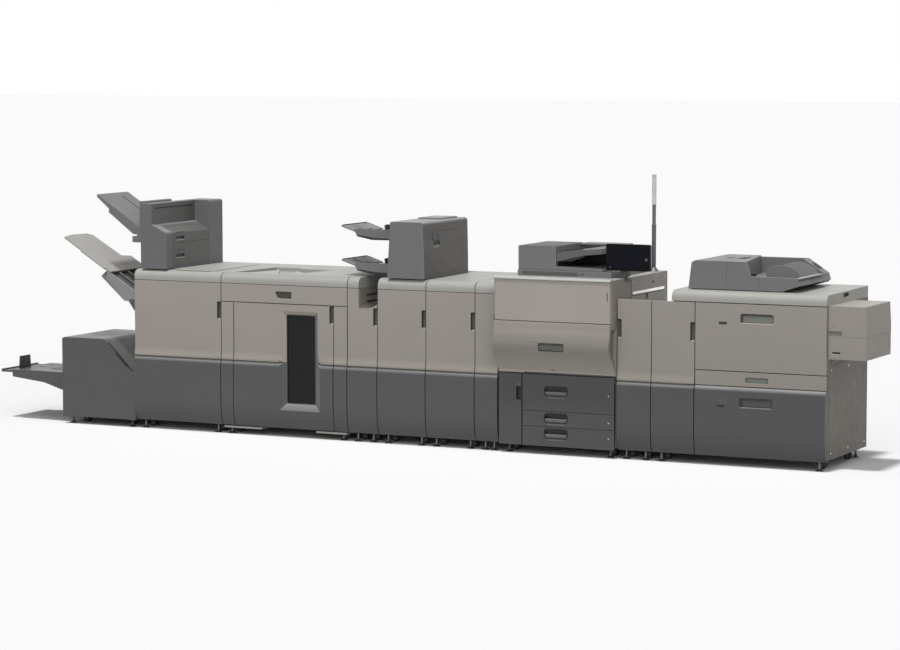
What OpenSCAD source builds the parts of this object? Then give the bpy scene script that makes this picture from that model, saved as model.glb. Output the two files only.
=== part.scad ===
// Digital production printer: a sheet-fed press engine with its paper feeders on the
// right and its stacking, inserting and finishing cabinets on the left.
// Millimetres, +Z up, front towards -Y. The layout is drawn with its zero at the
// finisher's left front edge, and every piece is then shifted so that the origin is
// the centre of the footprint of the whole line, on the floor.

/* [Line of cabinets] */
// Width of the finisher cabinet
finisher_w = 631; // [560:1:720]
// Width of the high capacity stacker
stacker_w = 887; // [820:1:1000]
// Width of the decurling unit
decurler_w = 206; // [180:1:250]
// Width of the cabinet under the sheet interposer
interposer_w = 327; // [300:1:380]
// Width of the buffer pass cabinet
buffer_w = 327; // [280:1:380]
// Width of the bridge cabinet beside the engine
bridge_w = 158; // [140:1:190]
// Width of the print engine
engine_w = 754; // [700:1:860]
// Width of the relay cabinet right of the engine
relay_w = 221; // [190:1:260]
// Width of the door section of the large feeder
feeder_door_w = 269; // [230:1:310]
// Width of the drawer section of the large feeder
feeder_drawer_w = 794; // [740:1:900]
// Depth of the cabinets behind the front plane
depth = 730; // [680:1:800]

/* [Levels] */
// Height of the carcass floor above the ground
carcass_z = 62; // [52:1:74]
// Height of the lower edge of the doors
door_z = 55; // [45:1:62]
// Height at which the dark lower cover meets the pale upper cover
split_z = 463; // [420:1:510]
// Height of the upper edge of the doors
door_top = 938; // [860:1:980]
// Height of the lid band on top of the cabinets
lid_h = 64; // [50:1:80]

/* [Doors] */
// Thickness of a door cover
cover_t = 20; // [16:1:26]
// Thickness of the steel panel inside a door
panel_t = 6; // [3:1:10]
// Gap between neighbouring doors
seam = 5; // [4:1:8]
// How far the lower covers stand proud of the front plane
proud = 12; // [8:1:16]
// Width of a recessed door grip
grip_w = 33; // [26:1:40]
// Height of a recessed door grip
grip_h = 113; // [90:1:140]
// Depth of a recessed door grip
grip_d = 14; // [10:1:15]

/* [Carcasses] */
// Wall thickness of the carcasses
wall = 16; // [12:1:24]
// Depth of the service bay behind the doors
bay_d = 180; // [140:1:230]

/* [Stacker] */
// Width of the fixed strip left of the stacker door
strip_left_w = 90; // [70:1:110]
// Width of the fixed strip right of the stacker door
strip_right_w = 95; // [75:1:115]
// Height of the drop flap above the stacker door
flap_h = 110; // [90:1:130]
// Width of the inspection window
window_w = 201; // [160:1:240]
// Height of the inspection window
window_h = 550; // [460:1:600]
// Thickness of the window pane
pane_t = 5; // [4:1:8]
// Thickness of the lifting stack table
table_t = 30; // [20:1:40]

/* [Finisher] */
// Width of the cover feeder on the finisher
cover_feeder_w = 190; // [170:1:220]
// Depth of the cover feeder
cover_feeder_d = 690; // [640:1:700]
// Height of the cover feeder
cover_feeder_h = 408; // [360:1:460]
// Reach of the cover feeder tray to the left
cover_tray_reach = 330; // [290:1:370]
// Width of the cover feeder tray along the depth
cover_tray_w = 360; // [330:1:400]
// Reach of the ribbed shift tray base to the left
shift_base_reach = 264; // [230:1:300]
// Reach of the shift tray's extension plate
shift_plate_reach = 551; // [500:1:590]
// Width of the shift tray along the depth
shift_tray_w = 420; // [380:1:460]

/* [Trimmer] */
// Width of the trimmer
trimmer_w = 545; // [480:1:600]
// Depth of the trimmer
trimmer_d = 591; // [540:1:640]
// Height of the trimmer
trimmer_h = 505; // [460:1:530]
// Length of the trimmer's delivery tray
delivery_l = 410; // [360:1:460]
// Reach of the delivery tray's extension
delivery_ext = 96; // [70:1:120]

/* [Sheet interposer] */
// Width of the interposer tower at its foot
tower_w = 252; // [230:1:270]
// Depth of the interposer tower
tower_d = 615; // [560:1:660]
// Height of the interposer tower
tower_h = 340; // [320:1:380]
// Length of an interposer tray
insert_tray_l = 283; // [260:1:310]
// Width of an interposer tray along the depth
insert_tray_w = 400; // [360:1:440]
// Height between the two interposer trays
insert_pitch = 208; // [195:1:220]

/* [Print engine] */
// How far the engine's covers stand out of the front plane
engine_front = 85; // [70:1:100]
// Depth of the engine behind the front plane
engine_depth = 786; // [740:1:840]
// Height of the engine's top plate
engine_top = 1050; // [1010:1:1090]
// Height of the lower edge of the engine's bulged front cover
engine_split_z = 482; // [450:1:520]
// Height of the line between the two upper engine covers
engine_line_z = 795; // [760:1:820]
// Width of the narrow door left of the paper drawers
waste_door_w = 152; // [130:1:180]
// Height of the upper edge of the middle paper drawer
drawer_line_2 = 260; // [240:1:280]
// Height of the upper edge of the bottom paper drawer
drawer_line_3 = 168; // [155:1:180]
// Width of the document feeder
adf_w = 540; // [500:1:580]
// Depth of the document feeder
adf_d = 500; // [450:1:540]
// Height of the document feeder's left housing
adf_h = 143; // [120:1:165]
// Width of the operation panel
panel_w = 277; // [240:1:300]
// Height of the operation panel
panel_h = 156; // [140:1:175]
// Height of the signal tower's top above the floor
signal_top = 1632; // [1560:1:1700]
// Radius of the signal tower's lamps
lamp_r = 13; // [10:1:17]

/* [Large feeder] */
// Height of the large feeder's lid
feeder_lid_h = 62; // [50:1:75]
// Height of the lower edge of the upper feed drawer
feed_line_z = 550; // [530:1:580]
// Width of the top feeder
top_feeder_w = 830; // [780:1:850]
// Depth of the top feeder
top_feeder_d = 560; // [500:1:600]
// Height of the top feeder
top_feeder_h = 190; // [165:1:215]
// Width of the bypass feeder
bypass_w = 227; // [200:1:260]
// Depth of the bypass feeder
bypass_d = 440; // [400:1:480]
// Height of the bypass feeder
bypass_h = 303; // [280:1:320]

/* [Feet] */
// Radius of a levelling foot pad
pad_r = 24; // [18:1:28]
// Radius of a caster wheel
wheel_r = 22; // [16:1:25]

/* [Hidden] */
$fn = 32;
clear = 0.3;
cut = 2;

// Left edge of each cabinet, from the widths to its left.
stacker_x = finisher_w;
decurler_x = stacker_x + stacker_w;
interposer_x = decurler_x + decurler_w;
buffer_x = interposer_x + interposer_w;
bridge_x = buffer_x + buffer_w;
engine_x = bridge_x + bridge_w;
relay_x = engine_x + engine_w;
feeder_x = relay_x + relay_w;
drawer_x = feeder_x + feeder_door_w;
line_end = drawer_x + feeder_drawer_w;
trimmer_gap = clear;
trimmer_x = -trimmer_gap - trimmer_w;
delivery_x = trimmer_x - delivery_l;

// The bulge is the front-most point of the line, the engine's back the rear-most.
bulge = 20;
origin_x = (line_end + bypass_w + delivery_x - delivery_ext) / 2;
origin_y = (engine_depth - engine_front - bulge) / 2;

// Levels and planes that several pieces share.
carcass_y = cover_t + panel_t + clear;
carcass_top = door_top + seam - cut;
low_drop = 73;
low_top = door_top - low_drop;
lid_z = carcass_top;
lid_top = lid_z + lid_h;
flap_z = door_top - flap_h;
door_inset = 3 * seam;
grip_z = split_z + (door_top - split_z) * 0.522;

// Small unit shapes
module placed() translate([-origin_x, -origin_y, 0]) children();
module box(x, y, z, w, d, h) translate([x, y, z]) cube([w, d, h]);
module along_x(x, w) translate([x, 0, 0]) rotate([90, 0, 90]) linear_extrude(w) children();
module along_y(y, d) translate([0, y + d, 0]) rotate([90, 0, 0]) linear_extrude(d) children();
module along_z(z, h) translate([0, 0, z]) linear_extrude(h) children();
module rod_x(x, y, z, r, w) translate([x, y, z]) rotate([0, 90, 0]) cylinder(r = r, h = w);
module rod_y(x, y, z, r, d) translate([x, y + d, z]) rotate([90, 0, 0]) cylinder(r = r, h = d);
module rod_z(x, y, z, r, h) translate([x, y, z]) cylinder(r = r, h = h);
function spread(shares, x, z, w, h) = [for (p = shares) [x + p[0] * w, z + p[1] * h]];
function arc(cx, cy, r, from, to, steps = 6) =
    [for (i = [0:steps]) let(a = from + (to - from) * i / steps) [cx + r * cos(a), cy + r * sin(a)]];
module rounded(x, z, w, h, r) {
    polygon(concat(
        arc(x + w - r, z + r, r, -90, 0),
        arc(x + w - r, z + h - r, r, 0, 90),
        arc(x + r, z + h - r, r, 90, 180),
        arc(x + r, z + r, r, 180, 270)));
}

// Side profiles of the two door covers, front to the left of the sheet.
flare = proud * 0.66;
groove = proud * 0.42;
bevel_h = 25;
flare_h = 60;
toe_h = 150;
toe_shares = [[0.0, 1.0], [0.07, 0.66], [0.28, 0.36], [0.6, 0.12], [1.0, 0.0]];
function upper_profile(top) = [
    [cover_t, split_z + seam / 3], [groove, split_z + seam / 3], [-flare, split_z + bevel_h / 2],
    [-flare / 2, split_z + flare_h / 2], [0, split_z + flare_h], [0, top], [cover_t, top]];
lower_profile = concat(
    [[cover_t, split_z], [groove, split_z], [-proud * 0.6, split_z - bevel_h * 0.55],
     [-proud, split_z - bevel_h]],
    spread(toe_shares, -proud, door_z, proud + cover_t * 0.9, toe_h),
    [[cover_t, door_z]]);

// A pair of covers, pale above and dark below, that run across one front.
module covers(x, w, top = door_top) {
    along_x(x, w) polygon(upper_profile(top));
    along_x(x, w) polygon(lower_profile);
}
// Recessed grip, cut into the edge of a cover that starts at x.
module grip(x, z = grip_z, w = grip_w, h = grip_h) {
    along_y(-cut - proud, grip_d + cut + proud) rounded(x, z, w, h, w / 5);
}
// A cabinet door: two covers in front of one steel panel. The grip is at the free edge.
module door(x, w, hinge_right = false, top = door_top) {
    left = x + seam / 2;
    width = w - seam;
    grip_x = hinge_right ? left - grip_w * 0.2 : left + width - grip_w * 0.8;
    difference() {
        covers(left, width, top);
        grip(grip_x, grip_z, grip_w, grip_h);
    }
    box(left + door_inset, cover_t, door_z + door_inset, width - 2 * door_inset, panel_t,
        top - door_z - 2 * door_inset);
}
// Open-fronted carcass with a service bay and a guide plate across it.
module carcass(x, w, top = carcass_top) {
    difference() {
        box(x, carcass_y, carcass_z, w, depth - carcass_y, top - carcass_z);
        box(x + wall, carcass_y - cut, carcass_z + wall, w - 2 * wall, bay_d + cut,
            top - carcass_z - 2 * wall);
    }
}
// Front edge of a lid, rounded over its upper half.
lid_r = lid_h * 0.7;
crown = 4;
module lid_profile(z, h, r, back) {
    polygon(concat([[back, z], [0, z]], arc(r, z + h - r, r, 180, 90), [[back, z + h + crown]]));
}
module lid(x, w) along_x(x + seam / 2, w - seam) lid_profile(lid_z, lid_h, lid_r, depth);

// Trimmer

trimmer_z = 48;
trimmer_shares = [[0, 0], [1, 0], [1, 0.58], [0.96, 0.61], [0.63, 0.955], [0.585, 0.99],
                  [0.55, 1], [0.03, 1], [0, 0.985]];
trimmer_outline = spread(trimmer_shares, trimmer_x, trimmer_z, trimmer_w, trimmer_h);
exit_w = 400;
exit_h = 34;
exit_z = trimmer_z + trimmer_h * 0.55;
exit_y = 90;

module trimmer_front_door() color("#565658") placed() {
    difference() {
        along_y(0, cover_t) polygon(trimmer_outline);
        // finger slot along the slope
        translate([trimmer_x + trimmer_w * 0.785, -cut, trimmer_z + trimmer_h * 0.79])
            rotate([0, 46.5, 0])
                cube([trimmer_w * 0.19, grip_d + cut, grip_d * 1.5]);
    }
}
module trimmer_housing() color("#565658") placed() {
    difference() {
        along_y(cover_t + clear, trimmer_d - cover_t - clear) polygon(trimmer_outline);
        // bay behind the front door
        along_y(cover_t - cut, bay_d) polygon(spread(trimmer_shares, trimmer_x + wall,
            trimmer_z + wall, trimmer_w - 2 * wall, trimmer_h - 2 * wall));
        // delivery slot
        box(trimmer_x - cut, exit_y, exit_z, wall + 2 * cut + bay_d, exit_w, exit_h);
    }
}

delivery_y = 40;
delivery_w = 440;
delivery_z = exit_z - seam;
delivery_shares = [[0, 1], [1, 1], [1, 0], [0.59, 0.41], [0, 0.63]];
delivery_h = 122;
plate_t = 12;
slot_w = 46;
module trimmer_delivery_tray() color("#5c5c5e") placed() {
    difference() {
        along_y(delivery_y, delivery_w)
            polygon(spread(delivery_shares, delivery_x, delivery_z - delivery_h, delivery_l, delivery_h));
        // pocket that the extension slides in
        box(delivery_x - cut, delivery_y + wall, delivery_z - plate_t - 2 * clear - wall / 2,
            delivery_l - wall, delivery_w - 2 * wall, plate_t + 2 * clear);
        // belt slots in the top
        for (i = [0:1])
            box(delivery_x + delivery_l * 0.5, delivery_y + delivery_w * (0.26 + 0.36 * i),
                delivery_z - wall / 2 - cut, delivery_l * 0.5 - wall, slot_w, wall / 2 + 2 * cut);
    }
}
ext_l = delivery_l * 0.6;
module trimmer_tray_extension() color("#5c5c5e") placed() {
    box(delivery_x - delivery_ext, delivery_y + wall + clear,
        delivery_z - plate_t - clear - wall / 2, delivery_ext + ext_l,
        delivery_w - 2 * wall - 2 * clear, plate_t);
    // end lip
    box(delivery_x - delivery_ext, delivery_y + wall + clear, delivery_z - plate_t - clear - wall / 2,
        plate_t, delivery_w - 2 * wall - 2 * clear, plate_t + wall / 2);
}
fence_h = 80;
fence_w = 130;
fence_t = 8;
fence_y = delivery_y + delivery_w * 0.15;
fence_z = delivery_z + clear;
fence_shares = [[0, 0], [1, 0], [0.94, 1], [0.06, 1]];
// End stop of the delivery tray, which folds outwards over the extension.
module trimmer_stop_fence() color("#3e3e40") placed()
    along_x(delivery_x + seam, fence_t)
        polygon(spread(fence_shares, fence_y, fence_z, fence_w, fence_h));

// Finisher

module finisher_cabinet() color("#8b8680") placed() {
    difference() {
        carcass(0, finisher_w);
        // slot that the sheets leave by, as deep as the stapling unit behind it
        box(-cut, shift_y + wall, exit_top_z, exit_deep, shift_tray_w - 2 * wall, exit_h);
    }
}
module finisher_door() color("#968f87") placed() door(0, finisher_w);

shift_y = 30;
shift_angle = 31.6;
shift_drop = 88;
shift_root_z = door_top - shift_drop;
shift_top_z = shift_root_z + shift_base_reach * tan(shift_angle);
exit_top_z = shift_root_z + wall;
exit_deep = 140;
shift_h = 150;
rib_n = 5;
rib_w = 14;
rib_h = 12;
module shift_tray() color("#6b6b6d") placed() {
    tip = 0.2;
    difference() {
        along_y(shift_y, shift_tray_w) polygon([
            [-clear, shift_root_z], [-clear, shift_root_z - shift_h * 0.4],
            [-shift_base_reach * 0.36, shift_root_z - shift_h / 3],
            [-shift_base_reach, shift_top_z - shift_h * 0.42],
            [-shift_base_reach * 0.84, shift_top_z - shift_base_reach * 0.16 * tan(shift_angle)]]);
        // channels between the ribs
        for (i = [0:rib_n - 2])
            translate([-shift_base_reach * tip, shift_y + rib_w + i * (shift_tray_w - rib_w) / (rib_n - 1),
                       shift_root_z + shift_base_reach * tip * tan(shift_angle)])
                rotate([0, shift_angle, 0])
                    translate([-shift_base_reach * 0.62, 0, -rib_h])
                        cube([shift_base_reach * 0.7, (shift_tray_w - rib_w) / (rib_n - 1) - rib_w,
                              rib_h + cut]);
    }
}
plate_w = 310;
plate_gap = 1.2 * clear;
plate_lap = 26;
module shift_tray_extension() color("#b5b1aa") placed() {
    // a thin plate that lies on the same incline as the base
    start = shift_base_reach * 0.84 - plate_lap;
    run = (shift_plate_reach - start) / cos(shift_angle);
    translate([-start, shift_y, shift_root_z + start * tan(shift_angle) + plate_gap])
        rotate([0, shift_angle, 0])
            linear_extrude(plate_t)
                polygon([[0, 0], [0, shift_tray_w], [-run * 0.32, shift_tray_w],
                         [-run * 0.36, plate_w + rib_w], [-run * 0.93, plate_w],
                         [-run * 0.99, plate_w * 0.88], [-run, plate_w * 0.3], [-run * 0.97, 0],
                         [-run * 0.62, 0], [-run * 0.6, -rib_w], [-run * 0.1, -rib_w], [-run * 0.08, 0]]);
}

// Cover feeder on the finisher

cf_x = 43;
cf_y = 12;
cf_z = lid_top + crown + clear;
cf_wall_w = cover_feeder_w * 0.44;
cf_shelf_z = cf_z + cover_feeder_h * 0.68;
cf_lip_z = cf_z + cover_feeder_h * 0.565;
cf_col_d = 168;
cf_r = 16;
cf_line_z = cf_z + cover_feeder_h * 0.39;
cf_corner_d = 75;
cf_cover_y = cf_y + cf_corner_d;
cf_cover_d = cover_feeder_d - cf_col_d - cf_corner_d - clear;
cf_cover_t = 14;
cf_body = [
    [cf_x, cf_z], [cf_x + cover_feeder_w, cf_z], [cf_x + cover_feeder_w, cf_lip_z - cf_r / 2],
    [cf_x + cover_feeder_w - cf_r / 2, cf_lip_z], [cf_x + cf_wall_w, cf_shelf_z],
    [cf_x + cf_wall_w, cf_z + cover_feeder_h], [cf_x + cf_r, cf_z + cover_feeder_h],
    [cf_x + cf_r / 4, cf_z + cover_feeder_h - cf_r / 4], [cf_x, cf_z + cover_feeder_h - cf_r]];
// Covers on the right face: the upper one wraps over the sloped shelf.
module cf_upper_outline(grow) polygon([
    [cf_x + cover_feeder_w + cut, cf_line_z + clear - grow], [cf_x + cover_feeder_w + cut, cf_lip_z + cut],
    [cf_x + cover_feeder_w - cf_r / 2, cf_lip_z + cut], [cf_x + cf_wall_w + cf_r, cf_shelf_z + cf_r],
    [cf_x + cf_wall_w + cf_r, cf_shelf_z - cf_cover_t - grow],
    [cf_x + cover_feeder_w - cf_cover_t - grow, cf_lip_z - cf_cover_t - grow],
    [cf_x + cover_feeder_w - cf_cover_t - grow, cf_line_z + clear - grow]]);
module cf_lower_outline(grow) translate([cf_x + cover_feeder_w - cf_cover_t - grow, cf_z + cf_r - grow])
    square([cf_cover_t + cut + grow, cf_line_z - cf_z - cf_r - clear + 2 * grow]);
module cover_feeder_housing() color("#6e6e70") placed() {
    difference() {
        union() {
            along_y(cf_y, cover_feeder_d - cf_col_d) polygon(cf_body);
            // full-height column at the rear
            along_y(cf_y + cover_feeder_d - cf_col_d, cf_col_d)
                polygon(concat([[cf_x, cf_z], [cf_x + cover_feeder_w, cf_z]],
                    arc(cf_x + cover_feeder_w - cf_r, cf_z + cover_feeder_h - cf_r, cf_r, 0, 90, 4),
                    arc(cf_x + cf_r, cf_z + cover_feeder_h - cf_r, cf_r, 90, 180, 4)));
        }
        along_y(cf_cover_y - clear, cf_cover_d + 2 * clear) cf_upper_outline(clear);
        along_y(cf_cover_y - clear, cf_cover_d + 2 * clear) cf_lower_outline(clear);
    }
}
cf_grip_w = 97;
cf_grip_h = 20;
cf_grip_in = 118;
cf_grip_y = cf_y + cf_grip_in;
module cover_feeder_upper_cover() color("#737375") placed() {
    difference() {
        intersection() {
            along_y(cf_cover_y, cf_cover_d) cf_upper_outline(0);
            along_y(cf_cover_y, cf_cover_d) polygon(cf_body);
        }
        box(cf_x + cover_feeder_w - cf_cover_t / 2, cf_grip_y, cf_lip_z - cf_grip_h * 2.6,
            cf_cover_t, cf_grip_w, cf_grip_h);
    }
}
module cover_feeder_lower_cover() color("#737375") placed() {
    difference() {
        intersection() {
            along_y(cf_cover_y, cf_cover_d) cf_lower_outline(0);
            along_y(cf_cover_y, cf_cover_d) polygon(cf_body);
        }
        box(cf_x + cover_feeder_w - cf_cover_t / 2, cf_grip_y, cf_line_z - cf_grip_h * 4.6,
            cf_cover_t, cf_grip_w, cf_grip_h);
    }
}
cf_tray_shares = [[0, 1], [0.02, 0.985], [1, 0.16], [1, 0], [0.8, 0.02], [0.255, 0.55], [0.26, 0.64],
                  [-0.008, 0.93]];
cf_tray_z = cf_z + cover_feeder_h * 0.51;
cf_tray_h = cover_feeder_h * 0.615;
cf_tray_in = 18;
cf_tray_y = cf_y + cf_tray_in;
cf_head_w = 38;
cf_tray_angle = atan(0.825 * cf_tray_h / cover_tray_reach / 0.98);
module cover_feeder_tray() color("#626264") placed() {
    difference() {
        union() {
            along_y(cf_tray_y, cover_tray_w)
                polygon(spread(cf_tray_shares, cf_x - cover_tray_reach, cf_tray_z,
                               cover_tray_reach, cf_tray_h));
            // feed head against the housing
            along_y(cf_tray_y + cover_tray_w * 0.1, cover_tray_w * 0.9)
                rounded(cf_x - cf_head_w, cf_tray_z + cf_r, cf_head_w, cf_tray_h * 0.78, cf_r / 2);
            // support bracket under the root
            box(cf_x - cf_head_w * 1.9, cf_tray_y, cf_tray_z - cf_r * 2.9,
                cf_head_w * 1.9, cover_tray_w / 3, cf_r * 2.4);
            box(cf_x - cf_head_w, cf_tray_y, cf_tray_z - cf_r, cf_head_w, cover_tray_w / 3, cf_r * 1.5);
        }
        // groove that the side fence runs in
        translate([cf_x - cover_tray_reach * 0.9, cf_tray_y + cover_tray_w * 0.66,
                   cf_tray_z + cf_tray_h * 0.9])
            rotate([0, cf_tray_angle, 0])
                translate([0, 0, -cf_r / 2])
                    cube([cover_tray_reach * 0.68, cf_r, cf_r]);
    }
}

// Stacker

stack_door_x = stacker_x + strip_left_w;
stack_door_w = stacker_w - strip_left_w - strip_right_w;
window_x = stack_door_x + stack_door_w * 0.522;
window_drop = 68;
window_z = flap_z - window_drop - window_h;
window_r = 12;
frame_w = 46;
stack_bay_z = carcass_z + wall;
stack_bay_top = flap_z - wall;
rail_w = 36;
rail_d = 28;
rail_y = depth - wall - rail_d;
rail_x = [window_x + window_w * 0.2, window_x + window_w * 0.75];
module stacker_cabinet() color("#8b8680") placed() {
    difference() {
        box(stacker_x, carcass_y, carcass_z, stacker_w, depth - carcass_y, carcass_top - carcass_z);
        // stacking bay
        box(stacker_x + 2 * wall, carcass_y - cut, stack_bay_z, stacker_w - 4 * wall,
            depth - carcass_y - wall + cut, stack_bay_top - stack_bay_z);
        // proof tray bay behind the flap
        box(stacker_x + 2 * wall, carcass_y - cut, flap_z + wall, stacker_w - 4 * wall, bay_d + cut,
            carcass_top - flap_z - 2 * wall);
    }
    // fixed strips beside the door
    covers(stacker_x + seam / 2, strip_left_w - seam, flap_z - seam);
    covers(stack_door_x + stack_door_w + seam / 2, strip_right_w - seam, flap_z - seam);
    strip_z = carcass_z + wall / 2;
    strip_h = flap_z - strip_z - 2 * seam;
    box(stacker_x + seam / 2, cover_t, strip_z, strip_left_w - seam, carcass_y - cover_t, strip_h);
    box(stack_door_x + stack_door_w + seam / 2, cover_t, strip_z, strip_right_w - seam,
        carcass_y - cover_t, strip_h);
    // guide rails of the lifting table
    for (x = rail_x)
        box(x - rail_w / 2, rail_y, stack_bay_z - cut, rail_w, rail_d + cut,
            stack_bay_top - stack_bay_z + 2 * cut);
}
module stacker_top_flap() color("#968f87") placed() {
    pocket_w = grip_h;
    pocket_h = grip_w * 1.33;
    difference() {
        box(stacker_x + seam / 2, 0, flap_z, stacker_w - seam, cover_t, door_top - flap_z);
        along_y(-cut, grip_d + cut) polygon([
            [stacker_x + stacker_w * 0.435, flap_z + flap_h * 0.655],
            [stacker_x + stacker_w * 0.435 + pocket_w * 0.14, flap_z + flap_h * 0.3],
            [stacker_x + stacker_w * 0.435 + pocket_w * 0.22, flap_z + flap_h * 0.655 - pocket_h],
            [stacker_x + stacker_w * 0.435 + pocket_w, flap_z + flap_h * 0.655 - pocket_h],
            [stacker_x + stacker_w * 0.435 + pocket_w, flap_z + flap_h * 0.655]]);
    }
    box(stacker_x + seam / 2 + door_inset, cover_t, flap_z + seam, stacker_w - seam - 2 * door_inset,
        panel_t, door_top - flap_z - 2 * seam);
}
// Dished surround of the window, a pyramid that narrows inwards.
module window_dish() {
    low = [window_x - frame_w, window_z - frame_w];
    dish_d = grip_d + proud;
    translate([low[0] + window_w / 2 + frame_w, -proud - cut, low[1] + window_h / 2 + frame_w])
        rotate([-90, 0, 0])
            linear_extrude(dish_d + cut, scale = [window_w / (window_w + 2 * frame_w),
                                                  window_h / (window_h + 2 * frame_w)])
                square([window_w + 2 * frame_w, window_h + 2 * frame_w], center = true);
}
module stacker_door() color("#968f87") placed() {
    difference() {
        door(stack_door_x, stack_door_w, false, flap_z - seam);
        window_dish();
        along_y(-cut, carcass_y + cut) rounded(window_x, window_z, window_w, window_h, window_r);
    }
}
module stacker_window() color("#2a2a2c") placed()
    along_y(cover_t + panel_t - pane_t, pane_t) rounded(window_x, window_z, window_w, window_h, window_r);
table_rest = 52;
table_z = stack_bay_z + table_rest;
table_w = stacker_w * 0.62;
table_d = 480;
module stack_table() color("#4c4c4e") placed() {
    x = stacker_x + (stacker_w - table_w) / 2;
    difference() {
        box(x, carcass_y + wall, table_z, table_w, table_d, table_t);
        for (i = [1:3])
            box(x + table_w * (i / 4 - 0.03), carcass_y + wall - cut, table_z + table_t / 2, table_w * 0.06,
                table_d * 0.7, table_t);
    }
    // carriage that runs on the guide rails
    difference() {
        box(window_x, carcass_y + wall + table_d, table_z, window_w,
            depth - 2 * wall - carcass_y - table_d - clear, table_t * 2.4);
        for (x = rail_x)
            box(x - rail_w / 2 - clear, rail_y - clear, table_z - cut, rail_w + 2 * clear,
                rail_d + wall, table_t * 2.4 + 2 * cut);
    }
}

// Cabinets from the decurler to the bridge, and the relay right of the engine

notch_x = decurler_x + decurler_w * 0.375;
notch_drop = 123;
notch_z = door_top - notch_drop;
notch_rise = 32;
notch_shares = [[0, 0.12], [0.1, 0], [0.5, 0.05], [0.75, 0.45], [1, 1], [1.2, 1], [1.2, 12], [0, 12]];
notch_w = decurler_x + decurler_w - notch_x;
module notch_cut(y, d) along_y(y, d) polygon(spread(notch_shares, notch_x, notch_z, notch_w, notch_rise));
module relay_cabinets() color("#8b8680") placed() {
    difference() {
        carcass(decurler_x, decurler_w);
        notch_floor = notch_z - wall;
        box(notch_x, carcass_y - cut, notch_floor, notch_w + cut, depth, carcass_top - notch_floor + cut);
    }
    // floor of the notch
    box(notch_x - wall, carcass_y, notch_z - 2 * wall, notch_w + wall, depth - carcass_y, wall);
    // wall between the notch and the service bay
    box(notch_x - wall, carcass_y, notch_z - 2 * wall, wall, depth - carcass_y,
        carcass_top - notch_z + 2 * wall);
    carcass(interposer_x, interposer_w);
    carcass(buffer_x, buffer_w);
    carcass(bridge_x, bridge_w);
    carcass(relay_x, relay_w, low_top);
}
module decurler_door() color("#968f87") placed() difference() {
    door(decurler_x, decurler_w);
    notch_cut(-cut - proud, carcass_y + proud + 2 * cut);
}
module interposer_base_door() color("#968f87") placed() door(interposer_x, interposer_w);
module buffer_door() color("#968f87") placed() door(buffer_x, buffer_w);
module bridge_door() color("#968f87") placed() door(bridge_x, bridge_w - seam);
module relay_door() color("#968f87") placed() door(relay_x + seam, relay_w - seam, true);

// Lids of the low cabinets. The stacker's lid is dished as a proof tray.
tray_dip = 22;
module top_lids() color("#b9b5af") placed() {
    lid(0, finisher_w);
    difference() {
        lid(stacker_x, stacker_w);
        // sunk proof tray with a raised wedge left standing in it
        along_z(lid_top - tray_dip, tray_dip + 2 * crown) difference() {
            polygon(spread([[0.06, 0.1], [0.52, 0.1], [0.34, 0.66], [0.14, 0.66]],
                           stacker_x, 0, stacker_w, depth));
            polygon(spread([[0.15, 0.02], [0.45, 0.02], [0.28, 0.42]], stacker_x, 0, stacker_w, depth));
        }
        // finger well right of the wedge
        along_z(lid_top - tray_dip, tray_dip + 2 * crown)
            polygon(spread([[0.27, 0.58], [0.62, 0.6], [0.56, 0.22], [0.5, 0.3]],
                           stacker_x, 0, stacker_w, depth));
    }
    lid(decurler_x, notch_x - decurler_x + seam / 2);
    lid(interposer_x, interposer_w);
    lid(buffer_x, buffer_w);
    lid(bridge_x, bridge_w - seam);
}

// Sheet interposer

tower_in = 64;
tower_x = interposer_x + tower_in;
tower_y = 4;
tower_z = lid_top + crown + clear;
tower_lean = 22;
tower_r = 18;
side_door_t = 10;
side_door_in = 63;
side_door_y = tower_y + side_door_in;
side_door_d = tower_d * 0.77;
side_door_z = tower_z + tower_r;
side_door_h = tower_h * 0.76;
module tower_profile() polygon(concat(
    [[tower_x, tower_z], [tower_x + tower_w, tower_z]],
    arc(tower_x + tower_w - tower_lean / 2 - tower_r, tower_z + tower_h - tower_r, tower_r, 0, 90, 5),
    arc(tower_x + tower_lean + tower_r / 3, tower_z + tower_h - tower_r / 3, tower_r / 3, 90, 180, 3)));
module tower_plan() polygon(concat(
    arc(tower_x + tower_w - tower_r, tower_y + tower_r, tower_r, -90, 0, 5),
    arc(tower_x + tower_w - tower_r, tower_y + tower_d - tower_r, tower_r, 0, 90, 5),
    arc(tower_x + tower_r / 3, tower_y + tower_d - tower_r / 3, tower_r / 3, 90, 180, 3),
    arc(tower_x + tower_r / 3, tower_y + tower_r / 3, tower_r / 3, 180, 270, 3)));
module tower_shell() intersection() {
    along_y(tower_y, tower_d) tower_profile();
    along_z(tower_z, tower_h) tower_plan();
}
module side_door_block(grow) box(tower_x + tower_w - side_door_t - tower_lean / 2 - grow,
    side_door_y - grow, side_door_z - grow, side_door_t + tower_lean + grow,
    side_door_d + 2 * grow, side_door_h + 2 * grow);
module interposer_tower() color("#6d6d6f") placed() {
    difference() {
        tower_shell();
        side_door_block(clear);
    }
    // raised rib along the rear of the top
    box(tower_x + tower_lean + tower_r, tower_y + tower_d * 0.55, tower_z + tower_h, tower_w * 0.6,
        tower_d * 0.38, crown * 2);
}
module interposer_side_door() color("#626262") placed() difference() {
    intersection() {
        tower_shell();
        side_door_block(0);
    }
    // latch pocket
    box(tower_x + tower_w - side_door_t, side_door_y + side_door_d * 0.15, side_door_z + side_door_h * 0.62,
        side_door_t * 2, side_door_d * 0.18, side_door_h * 0.18);
}
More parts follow.
